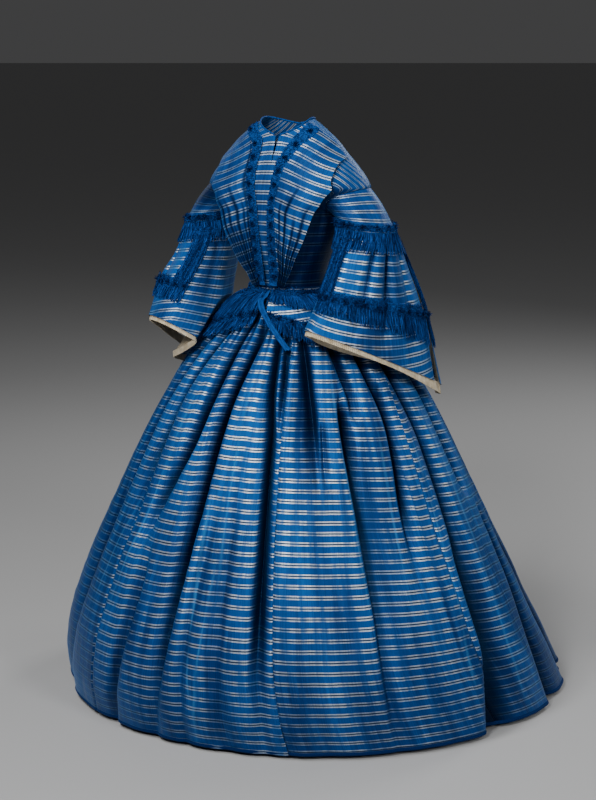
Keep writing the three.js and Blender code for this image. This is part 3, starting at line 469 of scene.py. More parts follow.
def basque_surface(azimuth, v):
    azimuth, v = np.broadcast_arrays(np.asarray(azimuth, float), np.asarray(v, float))
    length = column(BASQUE, "length", np.abs(turn(azimuth)))
    drop = lerp(-6, length, v)
    clear = lerp(0.8, 6, smooth(v, 0.02, 0.25)) + 1.8 * wobble(azimuth, 12, 24) * smooth(v, 0.3, 1)
    P = skirt_envelope(azimuth, drop)
    P = P - inward_of(P) * clear[..., None]
    P[..., 2] = -drop
    return P


# Flat facets of the crisp cloth: period across (mm), slant, height (mm), seed.
FACETS = [(83, 0.06, 1.4, 3), (131, -0.11, 1.9, 9), (57, 0.17, 0.6, 15)]
# Small creases on the far sides: azimuth, drift to the hem, depth, spread, and where they start and end.
CREASES = []
rng = np.random.default_rng(31)
for azimuth in np.arange(124, 292, 7.3):
    azimuth = azimuth + rng.uniform(-2, 2)
    drift, deep, spread = rng.uniform(-3, 3), rng.uniform(8, 14), rng.uniform(1.4, 2.0)
    CREASES.append((azimuth, drift, deep, spread, 0.0, rng.uniform(0.4, 0.85)))


# ---- materials ----
class Shader:
    """A material's nodes. A number goes in as itself, a triple as a colour, anything else as a link."""

    def __init__(self, name):
        self.material = bpy.data.materials.new(name)
        self.material.use_nodes = True
        self.nodes = self.material.node_tree.nodes

    def feed(self, socket, value):
        if isinstance(value, (int, float)):
            socket.default_value = value
        elif isinstance(value, tuple):
            socket.default_value = (*value, 1)
        else:
            self.material.node_tree.links.new(value, socket)

    def set(self, values):
        for name, value in values.items():
            self.feed(self.nodes["Principled BSDF"].inputs[name], value)

    def uv_map(self, name):
        node = self.nodes.new("ShaderNodeUVMap")
        node.uv_map = name
        return node.outputs[0]

    def split(self, vector):
        node = self.nodes.new("ShaderNodeSeparateXYZ")
        self.feed(node.inputs[0], vector)
        return node.outputs

    def math(self, kind, *values):
        node = self.nodes.new("ShaderNodeMath")
        node.operation = kind
        for socket, value in zip(node.inputs, values):
            self.feed(socket, value)
        return node.outputs[0]

    def mix(self, kind, factor, a, b):
        node = self.nodes.new("ShaderNodeMix")
        node.data_type = "RGBA"
        node.blend_type = kind
        for k, value in ((0, factor), (6, a), (7, b)):
            self.feed(node.inputs[k], value)
        return node.outputs[2]

    def noise(self, across, along, detail=2.0):
        """Noise on the cloth's own map, in cells to the metre across and along it."""
        stretch = self.nodes.new("ShaderNodeMapping")
        stretch.inputs["Scale"].default_value = (across, along, 1)
        self.feed(stretch.inputs["Vector"], self.cloth)
        node = self.nodes.new("ShaderNodeTexNoise")
        self.feed(node.inputs["Scale"], 1.0)
        self.feed(node.inputs["Detail"], detail)
        self.feed(node.inputs["Vector"], stretch.outputs[0])
        return node.outputs["Fac"]

    def ramp(self, factor, stops):
        """A colour ramp. A stop that is one number is a grey."""
        node = self.nodes.new("ShaderNodeValToRGB")
        node.color_ramp.interpolation = "LINEAR"
        elements = node.color_ramp.elements
        for k, (at, colour) in enumerate(stops):
            element = elements[k] if k < 2 else elements.new(at)
            element.position = at
            element.color = (*colour, 1) if isinstance(colour, tuple) else (colour, colour, colour, 1)
        self.feed(node.inputs[0], factor)
        return node.outputs[0]

    def bump(self, height, strength, distance):
        node = self.nodes.new("ShaderNodeBump")
        self.feed(node.inputs["Strength"], strength)
        self.feed(node.inputs["Distance"], distance)
        self.feed(node.inputs["Height"], height)
        self.set({"Normal": node.outputs[0]})


def cloth_shader(name):
    shader = Shader(name)
    shader.cloth = shader.uv_map("cloth")
    return shader


BLUE, BLACK, WHITE = (0.0005, 0.060, 0.250), (0.002, 0.010, 0.030), (0.52, 0.58, 0.66)
# Painted shade: the white and black lines as they look in shadow, a shaded copy of the stripes.
SHADED_LINE, SHADED_CORE = (0.020, 0.130, 0.320), (0.001, 0.034, 0.130)
BLUE_SHINE = (0.10, 0.40, 1.0)
# One repeat of the stripes in metres, the edges of its white, black and white lines, and their blur.
PITCH = 0.0245
LINE_EDGES = (0.30, 0.432, 0.558, 0.69)
LINE_BLUR = 0.016


def stripe_stops(ground, line, core):
    tones = (ground, line, core, line, ground)
    stops = [(0.0, ground)]
    for k, edge in enumerate(LINE_EDGES):
        stops += [(edge - LINE_BLUR, tones[k]), (edge + LINE_BLUR, tones[k + 1])]
    return stops + [(1.0, ground)]


def striped_silk():
    """Stripes along the cloth. Their whites fade where the silk is dull, and in painted shade deep in a fold
    and where the cloth turns away from view; painted shade darkens the folds and a painted highlight lightens
    the lit ridges.
    """
    silk = cloth_shader("striped_silk")
    drift = silk.math("MULTIPLY", silk.noise(14, 3), 0.0012)
    along = silk.math("ADD", silk.split(silk.cloth)[1], drift)
    repeat = silk.math("FRACT", silk.math("DIVIDE", along, PITCH))
    stripes = silk.ramp(repeat, stripe_stops(BLUE, WHITE, BLACK))
    shaded_stripes = silk.ramp(repeat, stripe_stops(BLUE, SHADED_LINE, SHADED_CORE))
    # The fold map: its first number is painted shade in the folds, its second a painted highlight on lit
    # ridges.
    fold = silk.split(silk.uv_map("fold"))
    fold_shade, ridge_glint = fold[0], fold[1]
    shine = silk.ramp(silk.noise(34, 4.5, 3.0), [(0.38, 0.22), (0.54, 1)])
    # How much white the lines keep: less in random dull patches, and less in the painted shade of the folds.
    kept = silk.math("MULTIPLY", shine, silk.ramp(fold_shade, [(0.0, 1), (0.60, 0.42)]))
    # Painted shade on the whites where the cloth turns away from view.
    facing = silk.nodes.new("ShaderNodeLayerWeight")
    silk.feed(facing.inputs["Blend"], 0.5)
    turned = silk.ramp(facing.outputs["Facing"], [(0.16, 1), (0.56, 0.12)])
    kept = silk.math("MULTIPLY", kept, turned)
    colour = silk.mix("MIX", kept, shaded_stripes, stripes)
    broad = silk.noise(40, 5)
    # Random clouds of tone, then the painted shade of the folds, which takes the cloth nearly to black.
    for share, factor, stops in (
        (0.9, silk.noise(420, 9, 3.0), [(0.3, (0.62, 0.64, 0.68)), (0.7, (1.22, 1.20, 1.16))]),
        (0.9, broad, [(0.3, (0.66, 0.68, 0.72)), (0.7, (1.20, 1.18, 1.15))]),
        (1.0, silk.noise(11, 1.8), [(0.38, (0.52, 0.56, 0.64)), (0.58, (1.30, 1.27, 1.20))]),
        (1.0, fold_shade, [(0.0, 1), (0.28, (0.40, 0.46, 0.56)), (1.0, (0.02, 0.036, 0.07))]),
    ):
        colour = silk.mix("MULTIPLY", share, colour, silk.ramp(factor, stops))
    # Painted highlight: the lit ridges are mixed towards a light blue.
    lit = silk.math("MULTIPLY", ridge_glint, 0.42)
    metal = silk.ramp(repeat, stripe_stops(0, 0.45, 0))
    silk.set({
        "Base Color": silk.mix("MIX", lit, colour, (0.06, 0.27, 0.58)),
        "Metallic": silk.math("MULTIPLY", metal, kept),
        "Roughness": silk.ramp(broad, [(0.3, 0.38), (0.7, 0.50)]),
        "IOR": 1.32,
        "Specular IOR Level": 0.6,
        "Specular Tint": BLUE_SHINE,
        "Sheen Weight": 0.16,
        "Sheen Roughness": 0.35,
        "Sheen Tint": (0.08, 0.40, 1.0),
    })
    rib = silk.math("MULTIPLY", silk.noise(260, 1900), 0.12)
    silk.bump(silk.math("ADD", rib, silk.noise(36, 9, 4.0)), 0.55, 0.0035)
    return silk.material


def floss(name, dark, light, rough=0.62):
    """Matt silk floss and braid; each strand has its own shade through the map's first number."""
    silk = cloth_shader(name)
    silk.set({
        "Base Color": silk.ramp(silk.noise(900, 60), [(0.38, dark), (0.64, light)]),
        "Roughness": rough,
        "Specular IOR Level": 0.3,
        "Specular Tint": BLUE_SHINE,
        "Sheen Weight": 0.10,
        "Sheen Roughness": 0.5,
        "Sheen Tint": (0.05, 0.25, 1.0),
    })
    silk.bump(silk.noise(700, 700), 0.5, 0.001)
    return silk.material


def plain_silk(name, dark, light, rough, tint):
    silk = cloth_shader(name)
    silk.set({
        "Base Color": silk.ramp(silk.noise(60, 60, 3.0), [(0.3, dark), (0.7, light)]),
        "Roughness": rough,
        "Sheen Weight": 0.2,
        "Sheen Tint": tint,
    })
    silk.bump(silk.noise(900, 900, 1.0), 0.3, 0.0006)
    return silk.material


SILK = striped_silk()
FLOSS = floss("silk_floss", (0.0004, 0.004, 0.032), (0.008, 0.072, 0.31))
BRAID = floss("silk_braid", (0.0010, 0.022, 0.11), (0.004, 0.075, 0.30), 0.55)
TUFTS = floss("dark_floss", (0.0008, 0.005, 0.030), (0.003, 0.022, 0.12), 0.8)
CREAM = plain_silk("cream_silk", (0.42, 0.33, 0.20), (0.72, 0.63, 0.47), 0.6, (1.0, 0.93, 0.78))


# ---- making pieces ----
def mesh_object(name, vertices, faces, uvs, material, dark=None):
    """uvs is one pair for each vertex, in metres of cloth. dark says for each vertex its painted shade, from
    how deep in a fold it lies, and its painted highlight, from how much of a lit ridge it is, both 0 to 1."""
    mesh = bpy.data.meshes.new(name)
    mesh.from_pydata(vertices.tolist(), [], faces.tolist())
    layer = mesh.uv_layers.new(name="cloth")
    corners = np.zeros(len(mesh.loops), np.int32)
    mesh.loops.foreach_get("vertex_index", corners)
    layer.data.foreach_set("uv", uvs[corners].astype(np.float32).ravel())
    if dark is not None:
        dark = dark.reshape(2, -1).T
        layer = mesh.uv_layers.new(name="fold")
        layer.data.foreach_set("uv", dark[corners].astype(np.float32).ravel())
    mesh.shade_smooth()
    mesh.materials.append(material)
    obj = bpy.data.objects.new(name, mesh)
    bpy.context.scene.collection.objects.link(obj)
    return obj


def grid_faces(m, n):
    a = (np.arange(m - 1)[:, None] * n + np.arange(n - 1)[None, :]).ravel()
    return np.stack([a, a + n, a + n + 1, a + 1], axis=-1)


def arc(P, axis):
    steps = np.linalg.norm(np.diff(P, axis=axis), axis=-1)
    pad = [(1, 0) if k == axis else (0, 0) for k in (0, 1)]
    return np.cumsum(np.pad(steps, pad), axis=axis)


def cloth_uv(P, row, phase=(0.0, 0.0), level=None):
    """Map in metres: across the cloth along `row`, and along the cloth from that row. level is the same cloth
    without its folds, where the stripes keep their height."""
    row = row % P.shape[0]
    down = arc(P if level is None else level, 0)
    along = down[row:row + 1] - down
    across = np.broadcast_to(arc(P, 1)[row:row + 1], along.shape)
    return np.stack([across + phase[0], along + phase[1]], axis=-1).reshape(-1, 2) * MM


def sheet(name, P, material, uv, dark=None):
    m, n, _ = P.shape
    # Silk always carries the fold map of painted shade and painted highlight, empty where none is given.
    if material == SILK:
        dark = np.zeros((m, n)) if dark is None else dark
        dark = np.stack([dark, np.zeros((m, n))]) if dark.ndim == 2 else dark
    return mesh_object(name, P.reshape(-1, 3) * MM, grid_faces(m, n), uv, material, dark)


def declare(piece, nodes):
    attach(piece, "root")
    if nodes:
        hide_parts(*nodes)


def directions(surface, u, v, du, dv):
    """Points of a surface, the ways across and down it, and the way out of it."""
    P = surface(u, v)
    across, down = unit(surface(u + du, v) - P), unit(surface(u, v + dv) - P)
    return P, across, down, unit(np.cross(down, across))


def strands(name, paths, half_width, material, seed):
    """Many thin threads, each a narrow ribbon turned its own way. paths is strands x points x 3, in mm."""
    rng = np.random.default_rng(seed)
    count, points, _ = paths.shape
    tangent = unit(np.gradient(paths, axis=1))
    helper = np.where(np.abs(tangent[..., 2:3]) > 0.9, np.array([1.0, 0, 0]), UP)
    side = unit(np.cross(tangent, helper))
    other = np.cross(tangent, side)
    turned = rng.uniform(0, 2 * np.pi, count)[:, None, None]
    taper = np.linspace(1.0, 0.55, points)[None, :, None]
    half = (side * np.cos(turned) + other * np.sin(turned)) * half_width * taper
    V = np.stack([paths - half, paths + half], axis=2).reshape(-1, 3)
    first = (np.arange(count)[:, None] * points + np.arange(points - 1)[None, :]) * 2
    faces = np.stack([first, first + 2, first + 3, first + 1], axis=-1).reshape(-1, 4)
    shade = rng.uniform(0, 1, count)[:, None, None] + np.zeros((count, points, 2))
    run = np.broadcast_to(np.linspace(0, 0.03, points)[None, :, None], shade.shape)
    uv = np.stack([shade, run], axis=-1).reshape(-1, 2)
    return mesh_object(name, V * MM, faces, uv, material)


# Threads: half their width, points along one, and how far apart a fringe's bunches are (mm).
THREAD_HALF, THREAD_POINTS, BUNCH = 1.05, 7, 7.5


def hanging_fringe(name, surface, us, root, tip, nodes, seed, lift, rows=3, spread=2.2):
    """Threads that hang from the row `root` of the surface to about `tip`, standing off it by `lift` (mm)."""
    rng = np.random.default_rng(seed)
    jitter = np.mean(np.diff(us)) * 0.4
    us = np.concatenate([us + rng.normal(0, 1, len(us)) * jitter for _ in range(rows)])
    us = np.clip(us, us.min(), us.max())
    count, width = len(us), us.max() - us.min()
    t = np.linspace(0, 1, THREAD_POINTS)[None, :]
    end = root + (tip - root) * rng.uniform(0.74, 1.10, count)
    V = root + (end[:, None] - root) * t
    U = us[:, None] + np.zeros_like(V)
    P, across, _, out = directions(surface, U, V, 1e-3 * width, 1e-3)
    edge = surface(np.linspace(us.min(), us.max(), 60), np.full(60, root))
    run = (us - us.min()) / width * np.linalg.norm(np.diff(edge, axis=0), axis=-1).sum()
    turns = 2 * np.pi * run / BUNCH + 1.5 * wobble(run, seed + 1, 60)
    bunch = -0.75 * BUNCH / (2 * np.pi) * np.sin(turns)
    sway = (bunch[:, None] + rng.normal(0, spread * 0.35, (count, 1))) * t**0.8
    sway = sway + (2.2 * wobble(run, seed + 2, 34))[:, None] * t**1.5
    sway = sway + rng.normal(0, 0.35, (count, THREAD_POINTS)) * np.minimum(1, 3 * t)
    off = lerp(lift[0], lift[1], t) * rng.uniform(0.6, 1.5, (count, 1)) + rng.normal(0, 0.5, (count, 1))
    P = P + across * sway[..., None] + out * np.maximum(off, 0.7)[..., None]
    declare(strands(name, P, THREAD_HALF, FLOSS, seed), nodes)


def tufts(name, surface, u, v, step, rise, radius, seed):
    """Small dark bunches of floss at the places u, v, `rise` above the surface (mm)."""
    rng = np.random.default_rng(seed)
    count = 60
    paths = []
    u, v = np.broadcast_arrays(np.asarray(u, float), np.asarray(v, float))
    P, _, _, out = directions(surface, u, v, *step)
    for c, n in zip(P + out * rise, out):
        d = unit(rng.normal(0, 1, (count, 3)))
        d = unit(d + n * (np.abs((d * n).sum(-1, keepdims=True)) + 0.35))
        t = np.linspace(0, 1, 3)[None, :, None]
        length = rng.uniform(0.6, 1.0, (count, 1, 1)) * radius
        bend = rng.normal(0, 0.2, (count, 1, 3)) * radius
        paths.append(c + n + d[:, None, :] * t * length + bend * t**2)
    declare(strands(name, np.concatenate(paths), 1.0, TUFTS, seed), [])


def wool(name, surface, us, vs, count, seed, size, lift=2.5):
    """Curled ends of floss that stand up all over a trim. us and vs are the two ends of its range."""
    rng = np.random.default_rng(seed)
    u, v = rng.uniform(*us, count), rng.uniform(*vs, count)
    P, across, down, n = directions(surface, u, v, 1e-3 * abs(us[1] - us[0]), 1e-3)
    way = rng.uniform(0, 2 * np.pi, count)[:, None]
    along = (across * np.cos(way) + down * np.sin(way)) * (size * rng.uniform(0.5, 1.2, count))[:, None]
    t = np.linspace(0, 1, 4)[None, :, None]
    high = (rng.uniform(0.4, 1.2, count) * size * 0.55)[:, None, None]
    path = P[:, None, :] + n[:, None, :] * (lift + high * np.sin(np.pi * 0.8 * t)) + along[:, None, :] * t
    declare(strands(name, path + rng.normal(0, 0.4, path.shape), 0.8, FLOSS, seed), [])


def ruched_trim(name, surface, us, vs, node, seed, upright=False):
    """A narrow gathered band on a surface, along its rows or, when upright, down its columns."""
    height, gather = (3.0, 6.0) if upright else (4.0, 6.5)
    P = surface(*np.meshgrid(us, vs))
    n = normals_of(P)
    m, c, _ = P.shape
    run = arc(P, 0 if upright else 1)
    share = np.linspace(0, 1, c)[None, :] if upright else np.linspace(0, 1, m)[:, None]
    U = np.broadcast_to(share, (m, c))
    crown = np.sin(np.pi * np.clip(U, 0, 1)) ** 0.5
    pucker = np.sin(run * 2 * np.pi / gather + 1.3 * wobble(run, seed, 22) + 0.8 * np.sin(2 * np.pi * U))
    other = wobble(run + 9 * U, seed + 1, 7.5)
    lift = 0.7 + (height - 0.7) * crown * (0.62 + 0.38 * pucker) + 0.5 * other * crown
    P = P + n * np.maximum(lift, 0.5)[..., None]
    uv = np.stack([run, U * 20], axis=-1).reshape(-1, 2) * MM
    declare(sheet(name, P, BRAID, uv), [node])


# ---- skirt ----
SEAM_GAP = 0.02
HIDDEN_WIDTHS = (2, 3, 4)
for k in range(7):
    columns = 120 if k in HIDDEN_WIDTHS else 240
    us = np.linspace(SEAMS[k] + SEAM_GAP, SEAMS[k + 1] - SEAM_GAP, columns)
    vs = np.concatenate([np.linspace(0, 0.3, 34, endpoint=False), np.linspace(0.3, 1, 52)])
    U, V = np.meshgrid(us, vs)
    P = skirt_surface(U, V)
    level = skirt_envelope(U, lerp(SKIRT_TOP, SKIRT_LENGTH, V))
    uv = cloth_uv(P, -1, (k * 600, (k * 9) % 24), lerp(level, P, 0.3))
    # The fold map carries the painted shade of the folds and the painted highlights of the ridges.
    piece = sheet(f"skirt_cloth_{k + 1}", P, SILK, uv, np.stack([folds(U, V)[1], glints(U, V)]))
    length = float(arc(P, 0)[-1].mean()) * MM
    declare(piece, [f"skirt_width_{k + 1}"])

braid_points = 1200
hem = skirt_surface(*np.meshgrid(np.linspace(0, 360, braid_points), np.linspace(0.991, 1.0, 5)))
hem = hem - inward_of(hem) * np.array([0.4, 1.6, 2.0, 1.6, 0.4])[:, None, None]
along = np.broadcast_to(np.linspace(0, 4, braid_points), (5, braid_points))
uv = np.stack([along, np.zeros((5, braid_points))], axis=-1).reshape(-1, 2)
piece = sheet("hem_braid", hem, TUFTS, uv)
declare(piece, [])


# ---- waistband and bodice ----
def waistband(azimuth, z):
    a = np.radians(azimuth)
    return vec(93 * np.sin(a), -82 * np.cos(a), -z)


P = waistband(*np.meshgrid(np.linspace(0, 360, 121), np.linspace(-9.6, 11.6, 4)))
# Painted shade, even over the whole waistband: its fold map is set to half dark.
piece = sheet("waistband_cloth", P, SILK, cloth_uv(P, -1), np.full(P.shape[:2], 0.5))
declare(piece, ["waistband"])

# Heights of the bodice's rows (mm), closest together round the armholes.
BODICE_ROWS = np.concatenate([
    np.linspace(400, 250, 40, endpoint=False),
    np.linspace(250, 189, 30, endpoint=False),
    np.linspace(189, 10, 40),
])
# Bodice panels: name, node, cut, columns, and the azimuths of both edges at each height.
BODICE_PANELS = [
    ("front_cloth_L", "front_L", "front", 40, front_opening, lambda z: SIDE_SEAM + 0 * z),
    ("front_cloth_R", "front_R", "front", 40, lambda z: 0 * z - SIDE_SEAM, lambda z: -front_opening(z)),
    ("side_cloth_L", "side_L", "side", 40, lambda z: SIDE_SEAM + 0 * z, lambda z: 90 - armhole_reach(z)),
    ("side_cloth_R", "side_R", "side", 40, lambda z: armhole_reach(z) - 90, lambda z: 0 * z - SIDE_SEAM),
    ("back_cloth", "back", "back", 90, lambda z: 90 + armhole_reach(z), lambda z: 270 - armhole_reach(z)),
]
for name, node, shape, columns, start, end in BODICE_PANELS:
    P = bodice_panel(start, end)(*np.meshgrid(np.linspace(0, 1, columns), -BODICE_ROWS))
    # Painted shade: the under-bodice is darkened where it lies in the shade of the fans and arms, most at the
    # sides near the waist.
    azimuth, z = np.abs(np.degrees(np.arctan2(P[..., 0], -P[..., 1]))), P[..., 2]
    low = 0.72 * smooth(azimuth, 12, 30) * (1 - smooth(azimuth, 95, 130)) * (1 - smooth(z, 170, 240))
    arm = 0.88 * smooth(azimuth, 40, 48) * (1 - smooth(azimuth, 60, 85))
    arm = arm * smooth(z, 110, 160) * (1 - smooth(z, 235, 275))
    piece = sheet(f"bodice_{name}", P, SILK, cloth_uv(P, -1), np.maximum(low, arm))
    declare(piece, [f"bodice_{node}"])

# ---- fan fronts ----
# Pleats: place, depth (mm), reach up from the waist, spread.
FAN_PLEATS = {
    "L": [
        (0.24, 7, 0.42, 0.022), (0.32, 9, 0.62, 0.022), (0.40, 8, 0.36, 0.022),
        (0.49, 10, 0.74, 0.024), (0.58, 8, 0.40, 0.022), (0.67, 10, 0.56, 0.024),
        (0.76, 8, 0.44, 0.022), (0.85, 10, 0.66, 0.024), (0.94, 7, 0.36, 0.020),
    ],
    "R": [
        (0.225, 10, 0.97, 0.022), (0.32, 9, 0.62, 0.022), (0.40, 9, 0.46, 0.022),
        (0.49, 11, 0.72, 0.026), (0.58, 9, 0.50, 0.024), (0.67, 11, 0.64, 0.026),
        (0.76, 9, 0.48, 0.024), (0.85, 10, 0.70, 0.026), (0.94, 8, 0.42, 0.022),
    ],
}


def mirrored(side, low, high):
    """A range of shares across a panel, which run the other way on the right."""
    return (low, high) if side > 0 else (1 - high, 1 - low)


for name, side in (("L", 1), ("R", -1)):
    surface = fan_surface(side, FAN_PLEATS[name])
    U, V = np.meshgrid(np.linspace(0, 1, 170), np.linspace(0, 1, 130))
    P = surface(U, V)
    uv = cloth_uv(P, 67, (0, 4), fan_surface(side, [])(U, V))
    piece = sheet(f"fan_cloth_{name}", P, SILK, uv, fan_shade(side, FAN_PLEATS[name], U, V))
    declare(piece, [f"fan_front_{name}"])
    ribbon = mirrored(side, 0.0, 0.195)
    us, vs = np.linspace(*ribbon, 14), np.linspace(0.0, 0.995, 260)
    ruched_trim(f"front_trim_{name}", surface, us, vs, f"front_ribbon_{name}", 5 + side, True)
    wool(f"front_wool_{name}", surface, ribbon, (0.0, 0.97), 1500, 260 + side, 5.0, 2.0)
    middle = 0.125 if side > 0 else 1 - 0.125
    at = np.linspace(0.03, 0.93, 12)
    tufts(f"front_tufts_{name}", surface, middle, at, (1e-3, 1e-3), 2.2, 9.0, 60 + side)

# ---- sleeves ----
# A bell's two panels. Each trim lies in a range across the panel. Counts are columns, curls of wool on the
# side trim and the hem trim, threads under the hem trim, and tufts.
BELL_PANELS = {
    "front": {
        "shape": BELL_FRONT, "columns": 190, "wool": (1300, 1500), "threads": 220, "tufts": 12,
        "side": (0.28, 0.40), "side_flat": (0.27, 0.03), "hem": (0.28, 1.0), "hem_flat": (0.50, 0.024),
    },
    "back": {
        "shape": BELL_BACK, "columns": 80, "wool": (500, 500), "threads": 70, "tufts": 4,
        "side": (0.0, 0.14), "side_flat": (0.22, 0.03), "hem": (0.0, 0.48), "hem_flat": (0.20, 0.024),
    },
}
EDGE_GAP = 0.004


def bell_panel(name, arm, where, panel):
    """One panel of a bell sleeve, with its two trims, their fringes and its lining."""
    side = arm["side"]
    label = f"bell_{where}"
    surface = bell_surface(arm, panel["shape"])
    U, V = np.meshgrid(np.linspace(EDGE_GAP, 1 - EDGE_GAP, panel["columns"]), np.linspace(0.068, 1, 100))
    P = surface(U, V)
    uv = cloth_uv(P, 0, (0, 7), surface(U, V, 0.0))
    piece = sheet(f"{label}_cloth_{name}", P, SILK, uv, bell_shade(arm, panel["shape"], U, V))
    declare(piece, [f"{label}_{name}"])

    across = mirrored(side, *panel["side"])
    us, vs = np.linspace(*across, 12), np.linspace(0.13, 0.57, 170)
    ruched_trim(f"{label}_side_ruche_{name}", surface, us, vs, f"{label}_side_trim_{name}", 31,
                True)
    wool(f"{label}_side_wool_{name}", surface, across, (0.10, 0.60), panel["wool"][0], 280 + side, 9.0)
    hanging_fringe(f"{label}_side_threads_{name}", surface, np.linspace(*across, 60), 0.14,
                   0.58 if side > 0 else 0.66, [], 90 + side, (3.2, 4.5), 3, 2.4)

    low, high = panel["hem"]
    across = mirrored(side, low + EDGE_GAP, high - EDGE_GAP)
    us, vs = np.linspace(*across, 300), np.linspace(0.58, 0.665, 10)
    ruched_trim(f"{label}_hem_ruche_{name}", surface, us, vs, f"{label}_hem_trim_{name}", 33)
    wool(f"{label}_hem_wool_{name}", surface, across, (0.575, 0.67), panel["wool"][1], 290 + side, 8.0)
    hanging_fringe(f"{label}_threads_{name}", surface, np.linspace(*across, panel["threads"]), 0.65, 0.80,
                   [f"{label}_fringe_{name}"], 100 + side, (2.5, 4.0))
    at = np.linspace(across[0] + 0.02, across[1] - 0.02, panel["tufts"])
    tufts(f"{label}_tufts_{name}", surface, at, 0.635, (1e-3, 1e-3), 3.0, 10.0, 110 + side)

    if where == "front":
        U, V = np.meshgrid(np.linspace(EDGE_GAP, 1 - EDGE_GAP, 150), np.linspace(0.84, 0.998, 24))
    else:
        U, V = np.meshgrid(np.linspace(*mirrored(side, EDGE_GAP, 0.3), 40), np.linspace(0.07, 0.998, 90))
    P = surface(U, V)
    P = P - normals_of(P) * 2.4
    piece = sheet(f"lining_{where}_cloth_{name}", P, CREAM, cloth_uv(P, 0))
    declare(piece, [f"lining_{where}_{name}"])


def frill(name, arm):
    """The pleated cream frill that hangs inside the bell's hem, all round it."""
    front, back = bell_surface(arm, BELL_FRONT), bell_surface(arm, BELL_BACK)
    hem = np.concatenate([
        front(np.linspace(0.01, 0.99, 420), np.ones(420)),
        back(np.linspace(0.01, 0.99, 180), np.ones(180)),
    ])
    hem = np.concatenate([hem, hem[:1]])
    ahead, behind = np.roll(hem, -6, axis=0), np.roll(hem, 6, axis=0)
    out = unit(vec(ahead[:, 1] - behind[:, 1], behind[:, 0] - ahead[:, 0], 0))
    run = np.concatenate([[0], np.cumsum(np.linalg.norm(np.diff(hem, axis=0), axis=-1))])
    low = lerp(12.0, 22.0, smooth(hem[:, 1], -60, 110))
    down = np.linspace(0, 1, 7)
    rows = []
    for t in down:
        wave = 1.9 * np.sin(2 * np.pi * run / 5.2 + 0.7 * wobble(run, 5, 60)) * (0.25 + 0.75 * t)
        inward = 5.0 - 2.0 * t + wave
        rows.append(hem - out * inward[:, None] - vec(0, 0, lerp(-3, low, t)))
    P = np.array(rows)
    uv = np.stack(np.broadcast_arrays(run, 16 * down[:, None]), axis=-1).reshape(-1, 2) * MM
    piece = sheet(f"frill_cloth_{name}", P, CREAM, uv)
    declare(piece, [f"sleeve_frill_{name}"])


for name, arm in ARMS.items():
    side = arm["side"]
    ring = upper_sleeve(arm)
    us, vs = np.linspace(0, 360, 131), np.linspace(0, 1.95, 50)
    P = ring(*np.meshgrid(us, vs))
    # Painted shade on the upper sleeve, on its inner front near the armhole.
    shade = 0.8 * (1 - smooth(np.abs(turn(us + 45)), 35, 70))[None, :] * (1 - smooth(vs, 0.3, 0.95))[:, None]
    piece = sheet(f"upper_sleeve_cloth_{name}", P, SILK, cloth_uv(P, -1), shade)
    declare(piece, [f"upper_sleeve_{name}"])
    us, vs = np.linspace(0, 360, 420), np.linspace(1.0, 1.62, 10)
    ruched_trim(f"sleeve_band_trim_{name}", ring, us, vs, f"sleeve_band_{name}", 21)
    wool(f"sleeve_band_wool_{name}", ring, (0, 360), (1.0, 1.62), 1300, 270 + side, 8.0)
    at = np.linspace(6, 354, 14)
    tufts(f"sleeve_band_tufts_{name}", ring, at, 1.22, (0.5, 0.01), 3.0, 10.0, 71 + side)

    def below_band(u, v, arm=arm):
        return sleeve_ring(arm, arm["side"] * u, v)

    hanging_fringe(f"band_threads_{name}", below_band, np.linspace(0, 360, 240), 0.055, 0.215,
                   [f"band_fringe_{name}"], 81 + side, (2.5, 4.5), 4)
    for where, panel in BELL_PANELS.items():
        bell_panel(name, arm, where, panel)
    frill(name, arm)

# ---- basque ----
for k, name in enumerate(("L", "back", "R")):
    ends = (BASQUE_SEAMS[k] + 0.05, BASQUE_SEAMS[k + 1] - 0.05)
    P = basque_surface(*np.meshgrid(np.linspace(*ends, 130), np.linspace(0, 1, 42)))
    piece = sheet(f"basque_cloth_{name}", P, SILK, cloth_uv(P, 0, (0, 10)))
    declare(piece, [f"basque_{name}"])
    us, vs = np.linspace(*ends, 360), np.linspace(0.74, 0.89, 10)
    ruched_trim(f"basque_ruche_{name}", basque_surface, us, vs, f"basque_trim_{name}", 41)
    wool(f"basque_wool_{name}", basque_surface, ends, (0.72, 0.92), 1500, 300 + k, 9.0)
    hanging_fringe(f"basque_threads_{name}", basque_surface, np.linspace(*ends, 240), 0.87, 1.22,
                   [f"basque_fringe_{name}"], 120 + k, (2.5, 4.5))
    wool(f"waist_wool_{name}", basque_surface, ends, (0.02, 0.22), 1500, 310 + k, 8.0, 2.0)
    hanging_fringe(f"waist_threads_{name}", basque_surface, np.linspace(*ends, 300), 0.04,
                   0.44 if name == "L" else 0.78, [f"waist_fringe_{name}"], 130 + k, (2.5, 6.0), 4)
    at = np.linspace(ends[0] + 3, ends[1] - 3, 12)
    tufts(f"basque_tufts_{name}", basque_surface, at, 0.82, (0.1, 0.01), 3.0, 11.0, 140 + k)


# ---- ribbon tail and neck binding ----
def tail(across, drop):
    azimuth = column(TAIL, "azimuth", drop) + across / column(SKIRT, "width", drop)
    off = column(TAIL, "off", drop)
    a = np.radians(azimuth)
    return skirt_envelope(azimuth, drop) + vec(np.sin(a), -np.cos(a), 0) * off[..., None]


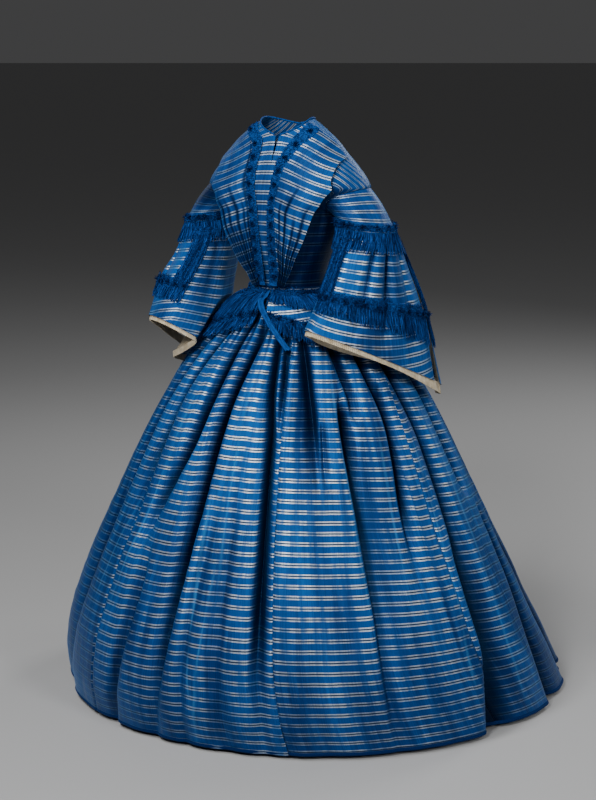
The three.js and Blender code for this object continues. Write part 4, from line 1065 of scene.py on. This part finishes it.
half = math.degrees(TAIL_WIDTH) / 2
P = tail(*np.meshgrid(np.linspace(-half, half, 16), np.linspace(0, 124, 70)))
P = P + normals_of(P) * (1.2 * np.sin(np.linspace(-np.pi, np.pi, 16)))[None, :, None]
frayed = smooth(np.linspace(0, 1, 70), 0.85, 1)
P[..., 2] += 2.2 * wobble(np.arange(16), 77, 5)[None, :] * frayed[:, None]
piece = sheet("waist_ribbon_cloth", P, BRAID, cloth_uv(P, 0))
declare(piece, ["waist_ribbon_tail"])


def binding(azimuth, v):
    P = body_surface(azimuth, neckline(azimuth))
    a = v * np.pi * 2
    out = unit(vec(P[..., 0], P[..., 1], 0))
    return P + out * (1.6 * np.sin(a))[..., None] + vec(0, 0, 2.4 + 2.2 * np.cos(a))


P = binding(*np.meshgrid(np.linspace(4, 356, 180), np.linspace(0, 1, 9)))
piece = sheet("neck_binding_cloth", P, BRAID, cloth_uv(P, 0))
declare(piece, ["neck_binding"])


# ---- floor, light and camera ----
# The camera that was fitted to the photo: azimuth and tilt in degrees, then distance, sideways shift and
# height over the floor in metres. Its focal length and the photo's height are in pixels, its sensor in mm.
PHOTO_AZIMUTH, PHOTO_TILT, DISTANCE, SHIFT, EYE_HEIGHT = 31.4, 10.78, 4.5, 0.022, 1.594
FOCAL_PIXELS, PHOTO_PIXELS, SENSOR = 1848, 800, 36
WAIST_HEIGHT = 1.02

turned = math.radians(PHOTO_AZIMUTH)
bpy.ops.mesh.primitive_plane_add(size=400, location=(0, 0, -1.0205), rotation=(0, 0, turned))
floor = bpy.context.object
floor.name = "floor"
pale = Shader("pale_floor")
pale.set({"Base Color": (0.45, 0.45, 0.45), "Roughness": 0.8})
floor.data.materials.append(pale.material)

world = bpy.data.worlds.new("world")
bpy.context.scene.world = world
world.use_nodes = True
world.node_tree.nodes["Background"].inputs[0].default_value = (0.62, 0.62, 0.63, 1)
world.node_tree.nodes["Background"].inputs[1].default_value = 0.09


def area_light(name, place, target, size, power):
    light = bpy.data.lights.new(name, "AREA")
    light.size = size
    light.energy = power
    obj = bpy.data.objects.new(name, light)
    obj.location = place
    obj.rotation_euler = (Vector(target) - Vector(place)).to_track_quat("-Z", "Y").to_euler()
    bpy.context.scene.collection.objects.link(obj)


area_light("key", (0.9, -4.0, 2.3), (0, 0, -0.2), 0.8, 128)
area_light("overhead", (-0.5, -1.9, 2.3), (0, 0, 0.1), 0.8, 59)
area_light("side", (4.2, -2.2, 1.6), (0, 0, -0.3), 1.2, 80)
area_light("rim_left", (-3.2, 1.6, 1.6), (0, 0, 0.3), 1.6, 7)
area_light("back", (0.8, 4.4, 2.4), (0, 0, -0.2), 1.6, 70)
area_light("rim_right", (2.6, 3.2, 1.6), (0, 0, -0.3), 1.6, 24)

lens = bpy.data.cameras.new("camera")
lens.sensor_fit = "AUTO"
lens.sensor_width = SENSOR
lens.lens = FOCAL_PIXELS * SENSOR / PHOTO_PIXELS
camera = bpy.data.objects.new("camera", lens)
camera.location = (
    DISTANCE * math.sin(turned) + SHIFT * math.cos(turned),
    SHIFT * math.sin(turned) - DISTANCE * math.cos(turned),
    EYE_HEIGHT - WAIST_HEIGHT,
)
camera.rotation_euler = (math.radians(90 - PHOTO_TILT), 0, turned)
bpy.context.scene.collection.objects.link(camera)
bpy.context.scene.camera = camera
